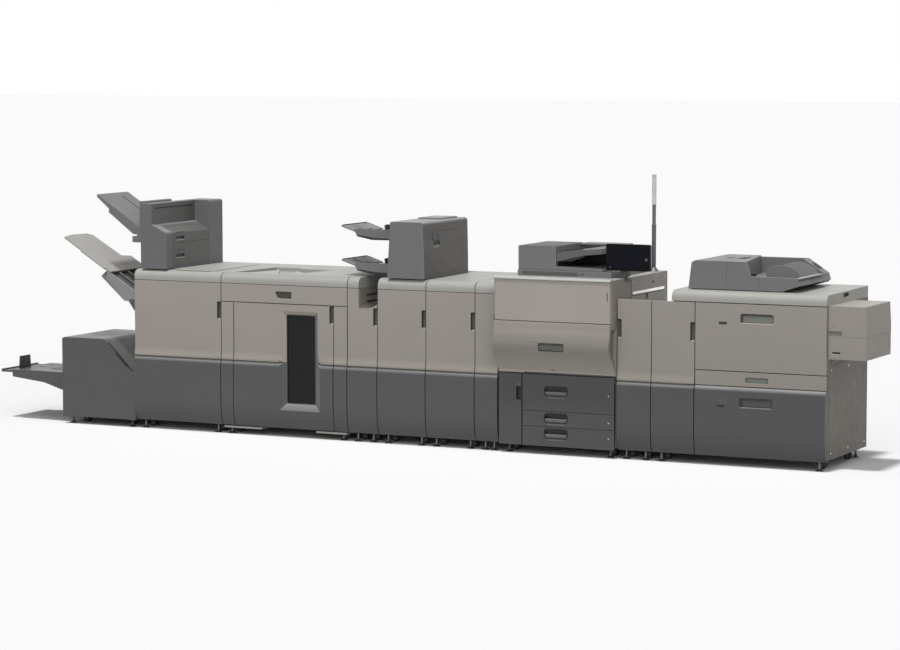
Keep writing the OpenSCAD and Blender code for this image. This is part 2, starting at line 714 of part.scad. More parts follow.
// One interposer tray: a shallow trough on a curved keel, root against the tower.
insert_h = 64;
insert_y = 80;
insert_floor = 0.62;
insert_shares = [[1, 1], [1, 0], [0.42, -0.02], [0.06, 0.28], [0.02, 0.6], [0, 1]];
guide_w = 12;
module insert_tray(root_x, z) {
    x = root_x - insert_tray_l;
    difference() {
        along_y(insert_y, insert_tray_w) polygon(spread(insert_shares, x, z, insert_tray_l, insert_h));
        box(x - cut, insert_y + guide_w, z + insert_h * insert_floor, insert_tray_l - guide_w,
            insert_tray_w - 2 * guide_w, insert_h);
    }
    // side fences that square the sheets
    for (i = [0:1])
        box(x + insert_tray_l * (0.42 + 0.24 * i), insert_y + insert_tray_w * (0.7 - 0.45 * i),
            z + insert_h * insert_floor, insert_tray_l * 0.2, guide_w, insert_h * 0.68);
}
insert_root_z = tower_z + tower_h * 0.652;
module interposer_upper_tray() color("#58585a") placed() difference() {
    insert_tray(tower_x + tower_lean, insert_root_z);
    tower_keep();
}
module interposer_lower_tray() color("#58585a") placed() difference() {
    insert_tray(tower_x + tower_lean, insert_root_z - insert_pitch);
    tower_keep();
}
// The space of the tower, so that a tray ends just short of its leaning side.
tower_side_top = tower_z + tower_h - tower_r / 3;
module tower_keep() along_y(tower_y - cut, tower_d + 2 * cut) polygon([
    [tower_x - clear, tower_z], [tower_x + tower_w, tower_z], [tower_x + tower_w, tower_side_top],
    [tower_x + tower_lean - clear, tower_side_top]]);
insert_ext_l = 98;
insert_ext_t = 6;
insert_rise = 34;
// Extension of an interposer tray: a narrow tongue between the side fences and a wide
// plate outside the tray that rises to the left.
module insert_extension(z) translate([tower_x + tower_lean - insert_tray_l, 0,
                                      z + insert_h * insert_floor + clear]) {
    along_y(insert_y + insert_tray_w * 0.34, insert_tray_w * 0.3)
        polygon([[-insert_ext_t, 0], [insert_tray_l * 0.4, 0], [insert_tray_l * 0.4, insert_ext_t / 2],
                 [0, insert_ext_t]]);
    along_y(insert_y + 2 * guide_w, insert_tray_w - 4 * guide_w)
        polygon([[0, 0], [0, insert_ext_t], [-insert_ext_l, insert_rise + insert_ext_t],
                 [-insert_ext_l - insert_ext_t, insert_rise + insert_ext_t * 0.8],
                 [-insert_ext_l - insert_ext_t, insert_rise]]);
}
module interposer_upper_extension() color("#6a6a6c") placed() insert_extension(insert_root_z);
module interposer_lower_extension() color("#6a6a6c") placed() insert_extension(insert_root_z - insert_pitch);

// Print engine

engine_cover_t = 26;
engine_left = engine_x + seam;
engine_cw = engine_w - 2 * seam;
engine_face_y = -engine_front + engine_cover_t + clear;
top_plate_t = 10;
plate_z = engine_top - top_plate_t;
drawers_x = engine_x + waste_door_w + seam;
drawers_w = engine_w - waste_door_w - 2 * seam;
low_back_y = cover_t - proud;
engine_body_y = low_back_y + clear;
drawer_bay_d = 560;
bay_lift = 25;
rail_in = 43;
toner_z = engine_line_z + bay_lift;
imaging_z = engine_split_z + bay_lift;
module engine_cabinet() color("#8b8680") placed() {
    difference() {
        union() {
            box(engine_x, engine_face_y, engine_split_z + seam, engine_w,
                engine_depth - engine_face_y, plate_z - engine_split_z - seam);
            box(engine_x, engine_body_y, carcass_z, engine_w, engine_depth - engine_body_y,
                engine_split_z + 2 * seam - carcass_z);
        }
        // front below the bulge, hollowed to clear the cover
        box(engine_x - cut, engine_face_y - cut, engine_split_z, engine_w + 2 * cut,
            engine_body_y - engine_face_y + cut, engine_line_z - engine_split_z - 2 * wall);
        // toner bay
        box(engine_x + 2 * wall, engine_face_y - cut, toner_z, engine_w - 4 * wall, bay_d * 1.5,
            plate_z - wall - toner_z);
        // imaging bay
        box(engine_x + 2 * wall, engine_face_y - cut, imaging_z, engine_w - 4 * wall, bay_d * 1.8,
            engine_line_z - wall - imaging_z);
        // waste box bay
        box(engine_x + wall, engine_body_y - cut, carcass_z + wall, waste_door_w - 2 * wall, bay_d,
            engine_split_z - wall - carcass_z - wall);
        // drawer bays
        box(drawers_x + wall / 2, engine_body_y - cut, carcass_z + wall, drawers_w - wall,
            drawer_bay_d + 2 * wall, drawer_line_3 - wall / 2 - carcass_z - wall);
        box(drawers_x + wall / 2, engine_body_y - cut, drawer_line_3 + wall / 4, drawers_w - wall,
            drawer_bay_d + 2 * wall, drawer_line_2 - drawer_line_3 - wall * 0.75);
        box(drawers_x + wall / 2, engine_body_y - cut, drawer_line_2 + wall / 4, drawers_w - wall,
            drawer_bay_d + 2 * wall, engine_split_z - drawer_line_2 - wall);
    }
    // top plate with its thin front rim
    along_x(engine_x, engine_w) polygon([
        [-engine_front, plate_z], [-engine_front, plate_z + crown],
        [-engine_front + crown, engine_top], [engine_depth, engine_top], [engine_depth, plate_z]]);
    // cable rail on the right side, above the relay cabinet
    box(engine_x + engine_w, engine_depth * 0.3, (plate_z + door_top) / 2 - rail_in, seam,
        engine_depth * 0.61, wall * 0.75);
}
engine_cover_r = 14;
module engine_upper_cover() color("#9a938b") placed() {
    along_z(engine_line_z + clear + cut, plate_z - engine_line_z - 2 * cut - clear)
        polygon(concat(
            [[engine_left + engine_cw, -engine_front + engine_cover_t],
             [engine_left, -engine_front + engine_cover_t]],
            arc(engine_left + engine_cover_r, -engine_front + engine_cover_r, engine_cover_r, 180, 270, 4),
            arc(engine_left + engine_cw - engine_cover_r, -engine_front + engine_cover_r,
                engine_cover_r, 270, 360, 4)));
}
// Front cover: flat at the top, a bulge, and a long sweep back to the drawers.
bulge_shares = [[0, 1], [0, 0.86], [-0.37, 0.74], [-0.89, 0.62], [-1, 0.52], [-0.53, 0.4]];
sweep_shares = [[0.21, 0.26], [0.64, 0.13], [0.985, 0.05], [1, 0]];
sweep_back_shares = [[0.97, 0.06], [0.6, 0.18], [0, 0.36], [0, 1]];
module engine_front_cover() color("#968f87") placed() {
    h = engine_line_z - engine_split_z - cut;
    sweep = engine_front - proud + 2 * clear;
    back = engine_front + low_back_y - engine_cover_t - clear;
    pull_x = engine_x + engine_w * 0.4;
    pull_w = engine_w * 0.215;
    difference() {
        along_x(engine_left, engine_cw)
            polygon(concat(
                spread(bulge_shares, -engine_front, engine_split_z, bulge, h),
                spread(sweep_shares, -engine_front, engine_split_z, sweep, h),
                [[low_back_y - clear, engine_split_z]],
                spread(sweep_back_shares, -engine_front + engine_cover_t, engine_split_z, back, h)));
        // pull grip
        along_y(-engine_front - bulge - cut, bulge + grip_d + cut)
            rounded(pull_x, engine_split_z + h * 0.46, pull_w, h * 0.15, grip_d / 2);
    }
    // bar across the grip, with finger room above and below it
    box(pull_x, -engine_front - bulge / 2, engine_split_z + h * 0.515, pull_w, bulge / 2 + grip_d, h * 0.04);
}
low_grip_w = 146;
low_grip_h = 52;
// Front of a drawer or door in the dark lower part of the engine.
module low_front(x, w, z0, z1)
    box(x + seam / 2, -proud, z0 + seam / 4, w - seam, cover_t, z1 - z0 - seam / 2);
module low_grip(x, z) along_y(-proud - cut, grip_d + cut)
    rounded(x, z, low_grip_w, low_grip_h, low_grip_h * 0.35);
module low_bar(x, z) along_x(x, low_grip_w) polygon([
    [-proud * 0.9, z], [-proud * 0.9, z + low_grip_h * 0.3], [grip_d - proud, z + low_grip_h * 0.42],
    [grip_d - proud, z]]);
module waste_box_door() color("#555557") placed() difference() {
    low_front(engine_x + seam / 2, waste_door_w, door_z - seam, engine_split_z - seam);
    along_y(-proud - cut, grip_d + cut)
        rounded(engine_x + waste_door_w - grip_w, door_z + (engine_split_z - door_z) * 0.62,
                grip_w, grip_h * 0.7, grip_w / 6);
}
tray_wall = 3;
// A paper drawer: its front cover and the open steel box behind it.
module drawer(x, w, z0, z1, d, back_y) {
    box_x = x + wall / 2 + clear + seam;
    box_w = w - wall - 2 * clear - 2 * seam;
    box_z = z0 + wall * 1.25 + clear;
    box_h = (z1 - z0) - wall * 2.2;
    difference() {
        box(box_x, back_y, box_z, box_w, d, box_h);
        box(box_x + tray_wall, back_y + tray_wall, box_z + tray_wall, box_w - 2 * tray_wall,
            d - 2 * tray_wall, box_h);
    }
}
module engine_drawer(z0, z1, grip_share) {
    grip_x = drawers_x + drawers_w * 0.245;
    grip_low = z0 + (z1 - z0) * grip_share - low_grip_h / 2;
    difference() {
        low_front(drawers_x, drawers_w, z0, z1);
        low_grip(grip_x, grip_low);
    }
    low_bar(grip_x, grip_low);
    drawer(drawers_x, drawers_w, max(z0, carcass_z), z1, drawer_bay_d, low_back_y);
}
module paper_drawer_1() color("#565658") placed() engine_drawer(drawer_line_2, engine_split_z - seam, 0.55);
module paper_drawer_2() color("#565658") placed() engine_drawer(drawer_line_3, drawer_line_2, 0.565);
module paper_drawer_3() color("#565658") placed() engine_drawer(door_z - seam, drawer_line_3, 0.66);

bottle_r = 44;
bottle_l = 230;
module toner_bottles() color("#3a3a3c") placed() {
    pitch = (engine_w - 4 * wall) / 4;
    for (i = [0:3]) {
        x = engine_x + 2 * wall + pitch * (i + 0.5);
        rod_y(x, engine_face_y + wall, toner_z + bottle_r, bottle_r, bottle_l);
        rod_y(x, engine_face_y + wall / 2, toner_z + bottle_r, bottle_r * 0.45, wall / 2);
        // cradle under the bottle
        box(x - bottle_r * 0.7, engine_face_y + wall, toner_z, bottle_r * 1.4, bottle_l, bottle_r * 0.4);
    }
}
drum_r = 30;
module imaging_units() color("#444446") placed() {
    pitch = (engine_w * 0.66) / 4;
    deep = bay_d * 1.2;
    y = engine_body_y + wall;
    for (i = [0:3]) {
        x = engine_x + 3 * wall + pitch * i;
        // drum unit housing with its drum on top
        box(x, y, imaging_z, pitch * 0.86, deep, drum_r * 2);
        rod_y(x + pitch * 0.43, y + wall, imaging_z + drum_r * 2.2, drum_r, deep - 2 * wall);
    }
    // transfer belt over the drums, round rollers at both ends
    belt_z = imaging_z + drum_r * 3.2;
    belt_l = pitch * 4;
    along_y(y, deep) rounded(engine_x + 3 * wall, belt_z, belt_l, drum_r * 1.8, drum_r * 0.85);
    // fuser
    box(engine_x + engine_w - 3 * wall - engine_w * 0.17, y, imaging_z, engine_w * 0.17, deep, drum_r * 6);
}

// Scanner, document feeder, operation panel and signal tower

scan_in = 84;
scan_x = engine_x + scan_in;
scan_y = 80;
scan_h = 34;
scan_side = 62;
scan_rear = 40;
glass_t = 4;
module scanner_top() color("#7a7a7c") placed() difference() {
    box(scan_x, scan_y, engine_top, adf_w + scan_side, adf_d + scan_rear, scan_h);
    box(scan_x + wall * 4, scan_y + wall * 2, engine_top + scan_h - glass_t, adf_w - wall * 7,
        adf_d - wall * 6, glass_t + cut);
}
module platen_glass() color("#9fb3b8") placed()
    box(scan_x + wall * 4, scan_y + wall * 2, engine_top + scan_h - glass_t, adf_w - wall * 7,
        adf_d - wall * 6, glass_t);
adf_x = scan_x + cut;
adf_y = scan_y + cf_r / 2;
adf_z = engine_top + scan_h + clear;
adf_box_w = adf_w * 0.45;
adf_base_h = 18;
module document_feeder() color("#707072") placed() {
    difference() {
        along_y(adf_y, adf_d) polygon(concat(
            [[adf_x, adf_z], [adf_x + adf_w, adf_z], [adf_x + adf_w, adf_z + adf_base_h],
             [adf_x + adf_box_w, adf_z + adf_base_h * 1.3],
             [adf_x + adf_box_w, adf_z + adf_h]],
            arc(adf_x + cf_r / 2, adf_z + adf_h - cf_r / 2, cf_r / 2, 90, 180, 3)));
        // rear third of the box is lower
        box(adf_x - cut, adf_y + adf_d * 0.8, adf_z + adf_h * 0.82, adf_box_w + 2 * cut, adf_d, adf_h);
    }
    // hinge blocks at the rear
    for (i = [0:1])
        box(adf_x + adf_w * (0.1 + 0.6 * i), adf_y + adf_d, adf_z, adf_w * 0.12, wall, adf_base_h);
}
in_tray_shares = [[0, 0], [0, 0.62], [0.55, 0.9], [1, 1], [1, 0.62], [0.62, 0.5]];
module document_feeder_tray() color("#5a5a5c") placed() {
    x = adf_x + adf_box_w + clear;
    z = adf_z + adf_h * 0.36;
    difference() {
        along_y(adf_y + wall / 2, adf_d * 0.8)
            polygon(spread(in_tray_shares, x, z, adf_w * 0.53, adf_h * 0.58));
        // trough between the raised side walls
        translate([x + wall, adf_y + 2 * wall, z + adf_h * 0.58])
            rotate([0, -12, 0])
                translate([-wall, 0, -adf_h * 0.13])
                    cube([adf_w * 0.6, adf_d * 0.8 - 3 * wall, adf_h]);
    }
}
arm_in = 52;
arm_x = engine_x + engine_w - arm_in;
arm_w = 50;
neck_lean = 24;
panel_y = 94;
panel_body_t = 24;
panel_shift = 35;
panel_x = arm_x + neck_lean + arm_w / 2 + panel_shift - panel_w / 2;
panel_lift = 46;
panel_z = engine_top + panel_lift;
pivot_r = 10;
arm_y = panel_y + panel_body_t + 2 * cut;
pivot_y = arm_y + pivot_r;
pivot_z = panel_z + pivot_r + cut;
module control_panel_arm() color("#5f5f61") placed() {
    along_y(arm_y, wall * 2.4) polygon([
        [arm_x, engine_top + clear], [arm_x + arm_w, engine_top + clear],
        [arm_x + arm_w + neck_lean, engine_top + wall], [arm_x + arm_w + neck_lean, pivot_z - pivot_r - clear],
        [arm_x + neck_lean, pivot_z - pivot_r - clear], [arm_x + neck_lean, engine_top + 2 * wall],
        [arm_x, engine_top + wall]]);
    // clevis that carries the panel's pin
    for (x = [arm_x + neck_lean, arm_x + neck_lean + arm_w - wall * 0.6])
        difference() {
            union() {
                box(x, pivot_y - pivot_r, pivot_z - pivot_r - clear, wall * 0.6, 2 * pivot_r, pivot_r + clear);
                rod_x(x, pivot_y, pivot_z, pivot_r, wall * 0.6);
            }
            rod_x(x - cut, pivot_y, pivot_z, pivot_r * 0.4 + 0.05 * clear, wall);
        }
}
module control_panel() color("#17181c") placed() {
    difference() {
        along_y(panel_y, panel_body_t) rounded(panel_x, panel_z, panel_w, panel_h, wall * 0.6);
        box(panel_x + wall * 0.7, panel_y - cut, panel_z + wall * 0.7, panel_w - wall * 1.4,
            cut * 2, panel_h - wall * 1.4);
    }
    // back lug and pin
    box(arm_x + neck_lean + wall * 0.6 + cut, panel_y + panel_body_t, pivot_z - pivot_r * 0.6,
        arm_w - wall * 1.2 - 2 * cut, pivot_y - panel_y - panel_body_t + pivot_r * 0.6, pivot_r * 1.2);
    rod_x(arm_x + neck_lean, pivot_y, pivot_z, pivot_r * 0.4, arm_w);
}
signal_x = engine_x + engine_w - arm_w;
signal_y = 690;
lamp_l = 84;
ring_h = 6;
lamp_z = signal_top - 2 * lamp_l - 2 * ring_h;
module signal_tower_pole() color("#8e8f90") placed() {
    translate([signal_x, signal_y, engine_top])
        cylinder(r1 = lamp_r * 2.4, r2 = lamp_r * 1.2, h = lamp_r * 1.8);
    rod_z(signal_x, signal_y, engine_top, lamp_r, (lamp_z - engine_top) * 0.68);
    rod_z(signal_x, signal_y, engine_top, lamp_r * 0.85, lamp_z - engine_top);
}
module signal_tower_lamps() color("#e6eaec") placed() {
    rod_z(signal_x, signal_y, lamp_z, lamp_r, lamp_l);
    rod_z(signal_x, signal_y, lamp_z + lamp_l, lamp_r * 1.08, ring_h);
    rod_z(signal_x, signal_y, lamp_z + lamp_l + ring_h, lamp_r, lamp_l);
    rod_z(signal_x, signal_y, lamp_z + 2 * lamp_l + ring_h, lamp_r * 1.08, ring_h);
}

// Large feeder

feed_bay_d = 600;
flap_low = split_z;
flap_top = feed_line_z - seam / 2;
module feeder_cabinet() color("#8b8680") placed() {
    difference() {
        box(feeder_x, carcass_y, carcass_z, line_end - feeder_x, depth - carcass_y,
            door_top - carcass_z + seam);
        box(feeder_x + wall, carcass_y - cut, carcass_z + wall, feeder_door_w - 2 * wall, bay_d + cut,
            low_top - carcass_z - 2 * wall);
        // left of the lid the top is as low as the relay cabinet's
        box(feeder_x - cut, carcass_y - cut, low_top, feeder_lid_x - feeder_x + cut, depth, door_top);
        // bays of the two feed drawers and of the flap between them
        box(drawer_x + wall, carcass_y - cut, feed_line_z + wall / 2, feeder_drawer_w - 2 * wall,
            feed_bay_d + wall, door_top - feed_line_z - wall);
        box(drawer_x + wall, carcass_y - cut, flap_low + wall / 2, feeder_drawer_w - 2 * wall,
            bay_d, feed_line_z - flap_low - wall);
        box(drawer_x + wall, carcass_y - cut, carcass_z + wall, feeder_drawer_w - 2 * wall,
            feed_bay_d + wall, flap_low - carcass_z - 1.5 * wall);
    }
}
module feeder_left_door() color("#968f87") placed() door(feeder_x, feeder_door_w);
feed_grip_w = 200;
feed_grip_h = 56;
feed_grip_x = drawer_x + feeder_drawer_w * 0.35;
module feed_box(z0, z1) drawer(drawer_x + wall / 2, feeder_drawer_w - wall, z0, z1, feed_bay_d, cover_t);
module upper_feed_drawer() color("#968f87") placed() {
    difference() {
        box(drawer_x + seam / 2, 0, feed_line_z + seam / 2, feeder_drawer_w - seam / 2, cover_t,
            door_top - feed_line_z - seam / 2);
        along_y(-cut, grip_d + cut) rounded(feed_grip_x, feed_line_z + (door_top - feed_line_z) * 0.715,
            feed_grip_w, feed_grip_h, feed_grip_h * 0.22);
    }
    feed_box(feed_line_z, door_top);
    feed_panel(feed_line_z + seam, door_top - seam);
}
module feed_panel(z0, z1)
    box(drawer_x + 1.5 * seam, cover_t, z0, feeder_drawer_w - 2.5 * seam, panel_t, z1 - z0);
module feeder_flap() color("#968f87") placed() {
    difference() {
        box(drawer_x + seam / 2, 0, flap_low + seam / 2, feeder_drawer_w - seam / 2, cover_t,
            flap_top - flap_low - seam / 2);
        along_y(-cut, grip_d + cut) rounded(feed_grip_x + wall * 2, flap_low + (flap_top - flap_low) * 0.28,
            feed_grip_w * 0.69, feed_grip_h * 0.58, grip_d / 2);
    }
    feed_panel(flap_low + seam, flap_top - seam);
}
module lower_feed_drawer() color("#565658") placed() {
    difference() {
        along_x(drawer_x + seam / 2, feeder_drawer_w - seam / 2) polygon(lower_profile);
        along_y(-cut - proud, grip_d + cut + proud / 2) rounded(feed_grip_x, split_z - feed_grip_h * 2.1,
            feed_grip_w, feed_grip_h, feed_grip_h * 0.22);
    }
    feed_box(carcass_z, flap_low);
    feed_panel(carcass_z + seam, flap_low - seam);
}
feeder_lid_x = feeder_x + feeder_door_w * 0.46;
feeder_lid_z = door_top + seam;
feeder_lid_top = feeder_lid_z + feeder_lid_h;
module feeder_lid() color("#b9b5af") placed() difference() {
    along_x(feeder_lid_x, line_end - feeder_lid_x)
        lid_profile(feeder_lid_z, feeder_lid_h, feeder_lid_h * 0.7, depth);
    // finger slot in the right end
    along_x(line_end - wall, wall + cut) rounded(depth * 0.39, feeder_lid_z + feeder_lid_h * 0.5,
        depth * 0.13, feeder_lid_h * 0.36, feeder_lid_h * 0.1);
}

// Top feeder: a closed feed head on the left, an open tray with raised walls on the right.
tf_in = 68;
tf_x = feeder_lid_x + tf_in;
tf_y = 86;
tf_z = feeder_lid_top + crown + clear;
tf_head_w = top_feeder_w * 0.43;
tf_floor_h = top_feeder_h * 0.33;
tf_wall_t = 22;
module tf_side_profile() polygon([
    [tf_x, tf_z], [tf_x + top_feeder_w * 0.03, tf_z + top_feeder_h * 0.8],
    [tf_x + top_feeder_w * 0.05, tf_z + top_feeder_h * 0.85],
    [tf_x + tf_head_w, tf_z + top_feeder_h * 0.85], [tf_x + top_feeder_w * 0.475, tf_z + top_feeder_h * 0.44],
    [tf_x + top_feeder_w * 0.83, tf_z + top_feeder_h * 0.39],
    [tf_x + top_feeder_w * 0.83, tf_z + top_feeder_h * 0.27], [tf_x + top_feeder_w * 0.68, tf_z]]);
module tf_back_profile() polygon([
    [tf_x + tf_wall_t, tf_z], [tf_x + top_feeder_w * 0.08, tf_z + top_feeder_h * 0.94],
    [tf_x + top_feeder_w * 0.5, tf_z + top_feeder_h], [tf_x + top_feeder_w * 0.8, tf_z + top_feeder_h * 0.94],
    [tf_x + top_feeder_w, tf_z + top_feeder_h * 0.62], [tf_x + top_feeder_w * 0.99, tf_z + top_feeder_h * 0.33],
    [tf_x + top_feeder_w * 0.68, tf_z]]);
module top_feeder_housing() color("#6f6f71") placed() {
    difference() {
        union() {
            along_y(tf_y, top_feeder_d - tf_wall_t) tf_side_profile();
            along_y(tf_y + top_feeder_d - tf_wall_t, tf_wall_t) tf_back_profile();
            // end wall that closes the tray on the right
            hull() {
                along_y(tf_y + top_feeder_d * 0.45, top_feeder_d * 0.55) polygon([
                    [tf_x + top_feeder_w * 0.9, tf_z + top_feeder_h * 0.26],
                    [tf_x + top_feeder_w, tf_z + top_feeder_h * 0.34],
                    [tf_x + top_feeder_w, tf_z + top_feeder_h * 0.6],
                    [tf_x + top_feeder_w * 0.93, tf_z + top_feeder_h * 0.6]]);
                along_y(tf_y, tf_wall_t) polygon([
                    [tf_x + top_feeder_w * 0.8, tf_z + top_feeder_h * 0.27],
                    [tf_x + top_feeder_w * 0.83, tf_z + top_feeder_h * 0.29],
                    [tf_x + top_feeder_w * 0.83, tf_z + top_feeder_h * 0.39],
                    [tf_x + top_feeder_w * 0.8, tf_z + top_feeder_h * 0.39]]);
            }
        }
        // hollow of the tray
        along_y(tf_y + tf_wall_t, top_feeder_d - 2 * tf_wall_t) polygon([
            [tf_x + tf_head_w * 1.02, tf_z + tf_floor_h], [tf_x + tf_head_w * 1.02, tf_z + top_feeder_h * 2],
            [tf_x + top_feeder_w * 0.96, tf_z + top_feeder_h * 2],
            [tf_x + top_feeder_w * 0.9, tf_z + top_feeder_h * 0.45],
            [tf_x + top_feeder_w * 0.8, tf_z + tf_floor_h]]);
    }
    // rear side fence, the fixed reference edge of the sheets
    tf_side_fence(tf_y + top_feeder_d * 0.72, 0);
}
tf_fence_w = top_feeder_w * 0.27;
tf_fence_h = top_feeder_h * 0.42;
tf_fence_shares = [[0, 0], [0, 0.72], [0.12, 0.86], [0.3, 0.97], [0.5, 1], [0.7, 0.84], [0.88, 0.5],
                   [1, 0]];
module tf_side_fence(y, lift) along_y(y, fence_t)
    polygon(spread(tf_fence_shares, tf_x + top_feeder_w * 0.52, tf_z + tf_floor_h + lift,
                   tf_fence_w, tf_fence_h));
module top_feeder_fence() color("#7b7b7d") placed() tf_side_fence(tf_y + top_feeder_d * 0.22, clear);

// Bypass feeder on the right end
bypass_y = 25;
bypass_z = feeder_lid_z + cut - bypass_h;
bypass_line = bypass_z + bypass_h * 0.425;
bypass_lean = 14;
bypass_cover_h = bypass_z + bypass_h - bypass_line;
module bypass_housing() color("#8f8982") placed() {
    difference() {
        box(line_end, bypass_y, bypass_z, bypass_w, bypass_d, bypass_line - bypass_z);
        box(line_end + bypass_w * 0.12, bypass_y - cut, bypass_z + bypass_h * 0.11, bypass_w * 0.2,
            cover_t / 2 + cut, wall * 0.6);
        // paper well under the cover
        box(line_end + wall, bypass_y + wall, bypass_line - bypass_h * 0.2, bypass_w - 2 * wall,
            bypass_d - 2 * wall, bypass_h);
    }
}
module bypass_cover() color("#979089") placed() {
    difference() {
        along_y(bypass_y, bypass_d) polygon([
            [line_end + clear, bypass_line + clear], [line_end + bypass_w, bypass_line + clear],
            [line_end + bypass_w, bypass_line + bypass_cover_h * 0.3],
            [line_end + bypass_w - bypass_lean / 2, bypass_line + bypass_cover_h],
            [line_end + clear, bypass_line + bypass_cover_h]]);
        // hollow underside
        box(line_end + wall, bypass_y + wall, bypass_line - cut, bypass_w - 2 * wall,
            bypass_d - 2 * wall, bypass_cover_h - wall + cut);
        // grip recess in the front
        box(line_end + seam, bypass_y - cut, bypass_line + seam, bypass_w * 0.34, cover_t / 2 + cut,
            bypass_cover_h * 0.16);
    }
}

// Feet and casters under every cabinet
foot_in = 50;
foot_y = 45;
caster_y = 140;
pad_h = 8;
stem_r = 7;
line_edges = [[0, stacker_x], [stacker_x, decurler_x], [decurler_x, interposer_x],
              [interposer_x, buffer_x], [buffer_x, bridge_x], [bridge_x, engine_x],
              [engine_x, relay_x], [relay_x, feeder_x], [feeder_x, line_end]];
module foot(x, y, top) {
    rod_z(x, y, 0, pad_r, pad_h / 2);
    translate([x, y, pad_h / 2]) cylinder(r1 = pad_r, r2 = stem_r * 1.5, h = pad_h);
    rod_z(x, y, pad_h, stem_r, top - pad_h);
}
module levelling_feet() color("#c9cbcc") placed() {
    for (e = line_edges)
        for (x = [e[0] + foot_in, e[1] - foot_in])
            for (y = [foot_y, depth - foot_y])
                foot(x, y, carcass_z);
    for (x = [trimmer_x + foot_in, trimmer_x + trimmer_w - foot_in])
        for (y = [foot_y, trimmer_d - foot_y])
            foot(x, y, trimmer_z);
}
module caster(x, y, top) {
    r = min(wheel_r, top / 2 - cut);
    for (i = [-1, 1])
        rod_y(x, y + i * r * 0.6 - r * 0.4, r + cut / 2, r, r * 0.8);
    rod_y(x, y - r * 0.2, r + cut / 2, r * 0.3, r * 0.4);
    box(x - r * 0.5, y - r * 0.2, r + cut / 2, r, r * 0.4, top - r - cut / 2);
}
module casters() color("#1d1d1f") placed() {
    for (e = line_edges)
        if (e[1] - e[0] > 4 * foot_in)
            for (x = [e[0] + foot_in * 1.1, e[1] - foot_in * 1.3])
                for (y = [caster_y, depth - caster_y])
                    caster(x, y, carcass_z);
    for (x = [trimmer_x + foot_in * 2, trimmer_x + trimmer_w - foot_in * 2])
        for (y = [caster_y, trimmer_d - caster_y])
            caster(x, y, trimmer_z);
}

trimmer_housing();
trimmer_front_door();
trimmer_delivery_tray();
trimmer_tray_extension();
trimmer_stop_fence();
finisher_cabinet();
finisher_door();
shift_tray();
shift_tray_extension();
cover_feeder_housing();
cover_feeder_tray();
cover_feeder_upper_cover();
cover_feeder_lower_cover();
stacker_cabinet();
stacker_top_flap();
stacker_door();
stacker_window();
stack_table();
relay_cabinets();
top_lids();
decurler_door();
interposer_base_door();
buffer_door();
bridge_door();
relay_door();
interposer_tower();
interposer_side_door();
interposer_upper_tray();
interposer_lower_tray();
interposer_upper_extension();
interposer_lower_extension();
engine_cabinet();
engine_upper_cover();
engine_front_cover();
waste_box_door();
paper_drawer_1();
paper_drawer_2();
paper_drawer_3();
toner_bottles();
imaging_units();
scanner_top();
platen_glass();
document_feeder();
document_feeder_tray();
control_panel_arm();
control_panel();
signal_tower_pole();
signal_tower_lamps();
feeder_cabinet();
feeder_left_door();
upper_feed_drawer();
feeder_flap();
lower_feed_drawer();
feeder_lid();
top_feeder_housing();
top_feeder_fence();
bypass_housing();
bypass_cover();
levelling_feet();
casters();
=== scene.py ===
"""Looks of a sheet-fed press line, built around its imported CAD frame.

Sizes are in layout millimetres: x runs along the line from the finisher's left edge, y
runs from the front plane to the rear, and z is the height above the floor.
"""

import logging
import math
from collections.abc import Callable, Sequence
from dataclasses import dataclass
from enum import Enum
from typing import ClassVar

import bmesh
import bpy
from mathutils import Matrix, Vector


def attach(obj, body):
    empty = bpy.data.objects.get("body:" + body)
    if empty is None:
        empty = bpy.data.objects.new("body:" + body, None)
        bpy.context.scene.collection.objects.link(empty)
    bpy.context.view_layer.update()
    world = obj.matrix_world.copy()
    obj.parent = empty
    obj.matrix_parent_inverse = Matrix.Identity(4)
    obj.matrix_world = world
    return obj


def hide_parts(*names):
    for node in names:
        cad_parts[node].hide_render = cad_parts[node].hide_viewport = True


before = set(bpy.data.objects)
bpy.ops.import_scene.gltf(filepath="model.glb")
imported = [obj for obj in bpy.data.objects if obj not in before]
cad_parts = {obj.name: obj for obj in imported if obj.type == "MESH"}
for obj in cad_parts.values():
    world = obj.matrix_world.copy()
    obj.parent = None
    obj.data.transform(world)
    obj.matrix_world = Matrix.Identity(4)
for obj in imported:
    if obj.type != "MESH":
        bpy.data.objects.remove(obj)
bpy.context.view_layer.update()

LOG = logging.getLogger("press_line")
SHIFT_X, SHIFT_Y = 1874.85, 340.5
TO_FRAME = Matrix.Scale(0.001, 4) @ Matrix.Translation((-SHIFT_X, -SHIFT_Y, 0))
TO_LAYOUT = TO_FRAME.inverted()
LINE = "press_line"

Pair = tuple[float, float]
Triple = tuple[float, float, float]

RIGHTWARD: Triple = (1, 0, 0)
REARWARD: Triple = (0, 1, 0)
FRONTWARD: Triple = (0, -1, 0)
UPWARD: Triple = (0, 0, 1)


class Axis(Enum):
    """An axis of the layout, with the two others in the order of an outline drawn across it."""

    X = (0, 1, 2)
    Y = (1, 0, 2)
    Z = (2, 0, 1)

    def point(self, along: float, u: float, v: float) -> Vector:
        """The layout point at (u, v) of an outline, that far along the axis.

        Args:
            along: the place along the axis.
            u: the first place across it.
            v: the second place across it.

        Returns:
            The layout point.
        """
        place = Vector((0, 0, 0))
        place[self.value[0]], place[self.value[1]], place[self.value[2]] = along, u, v
        return place


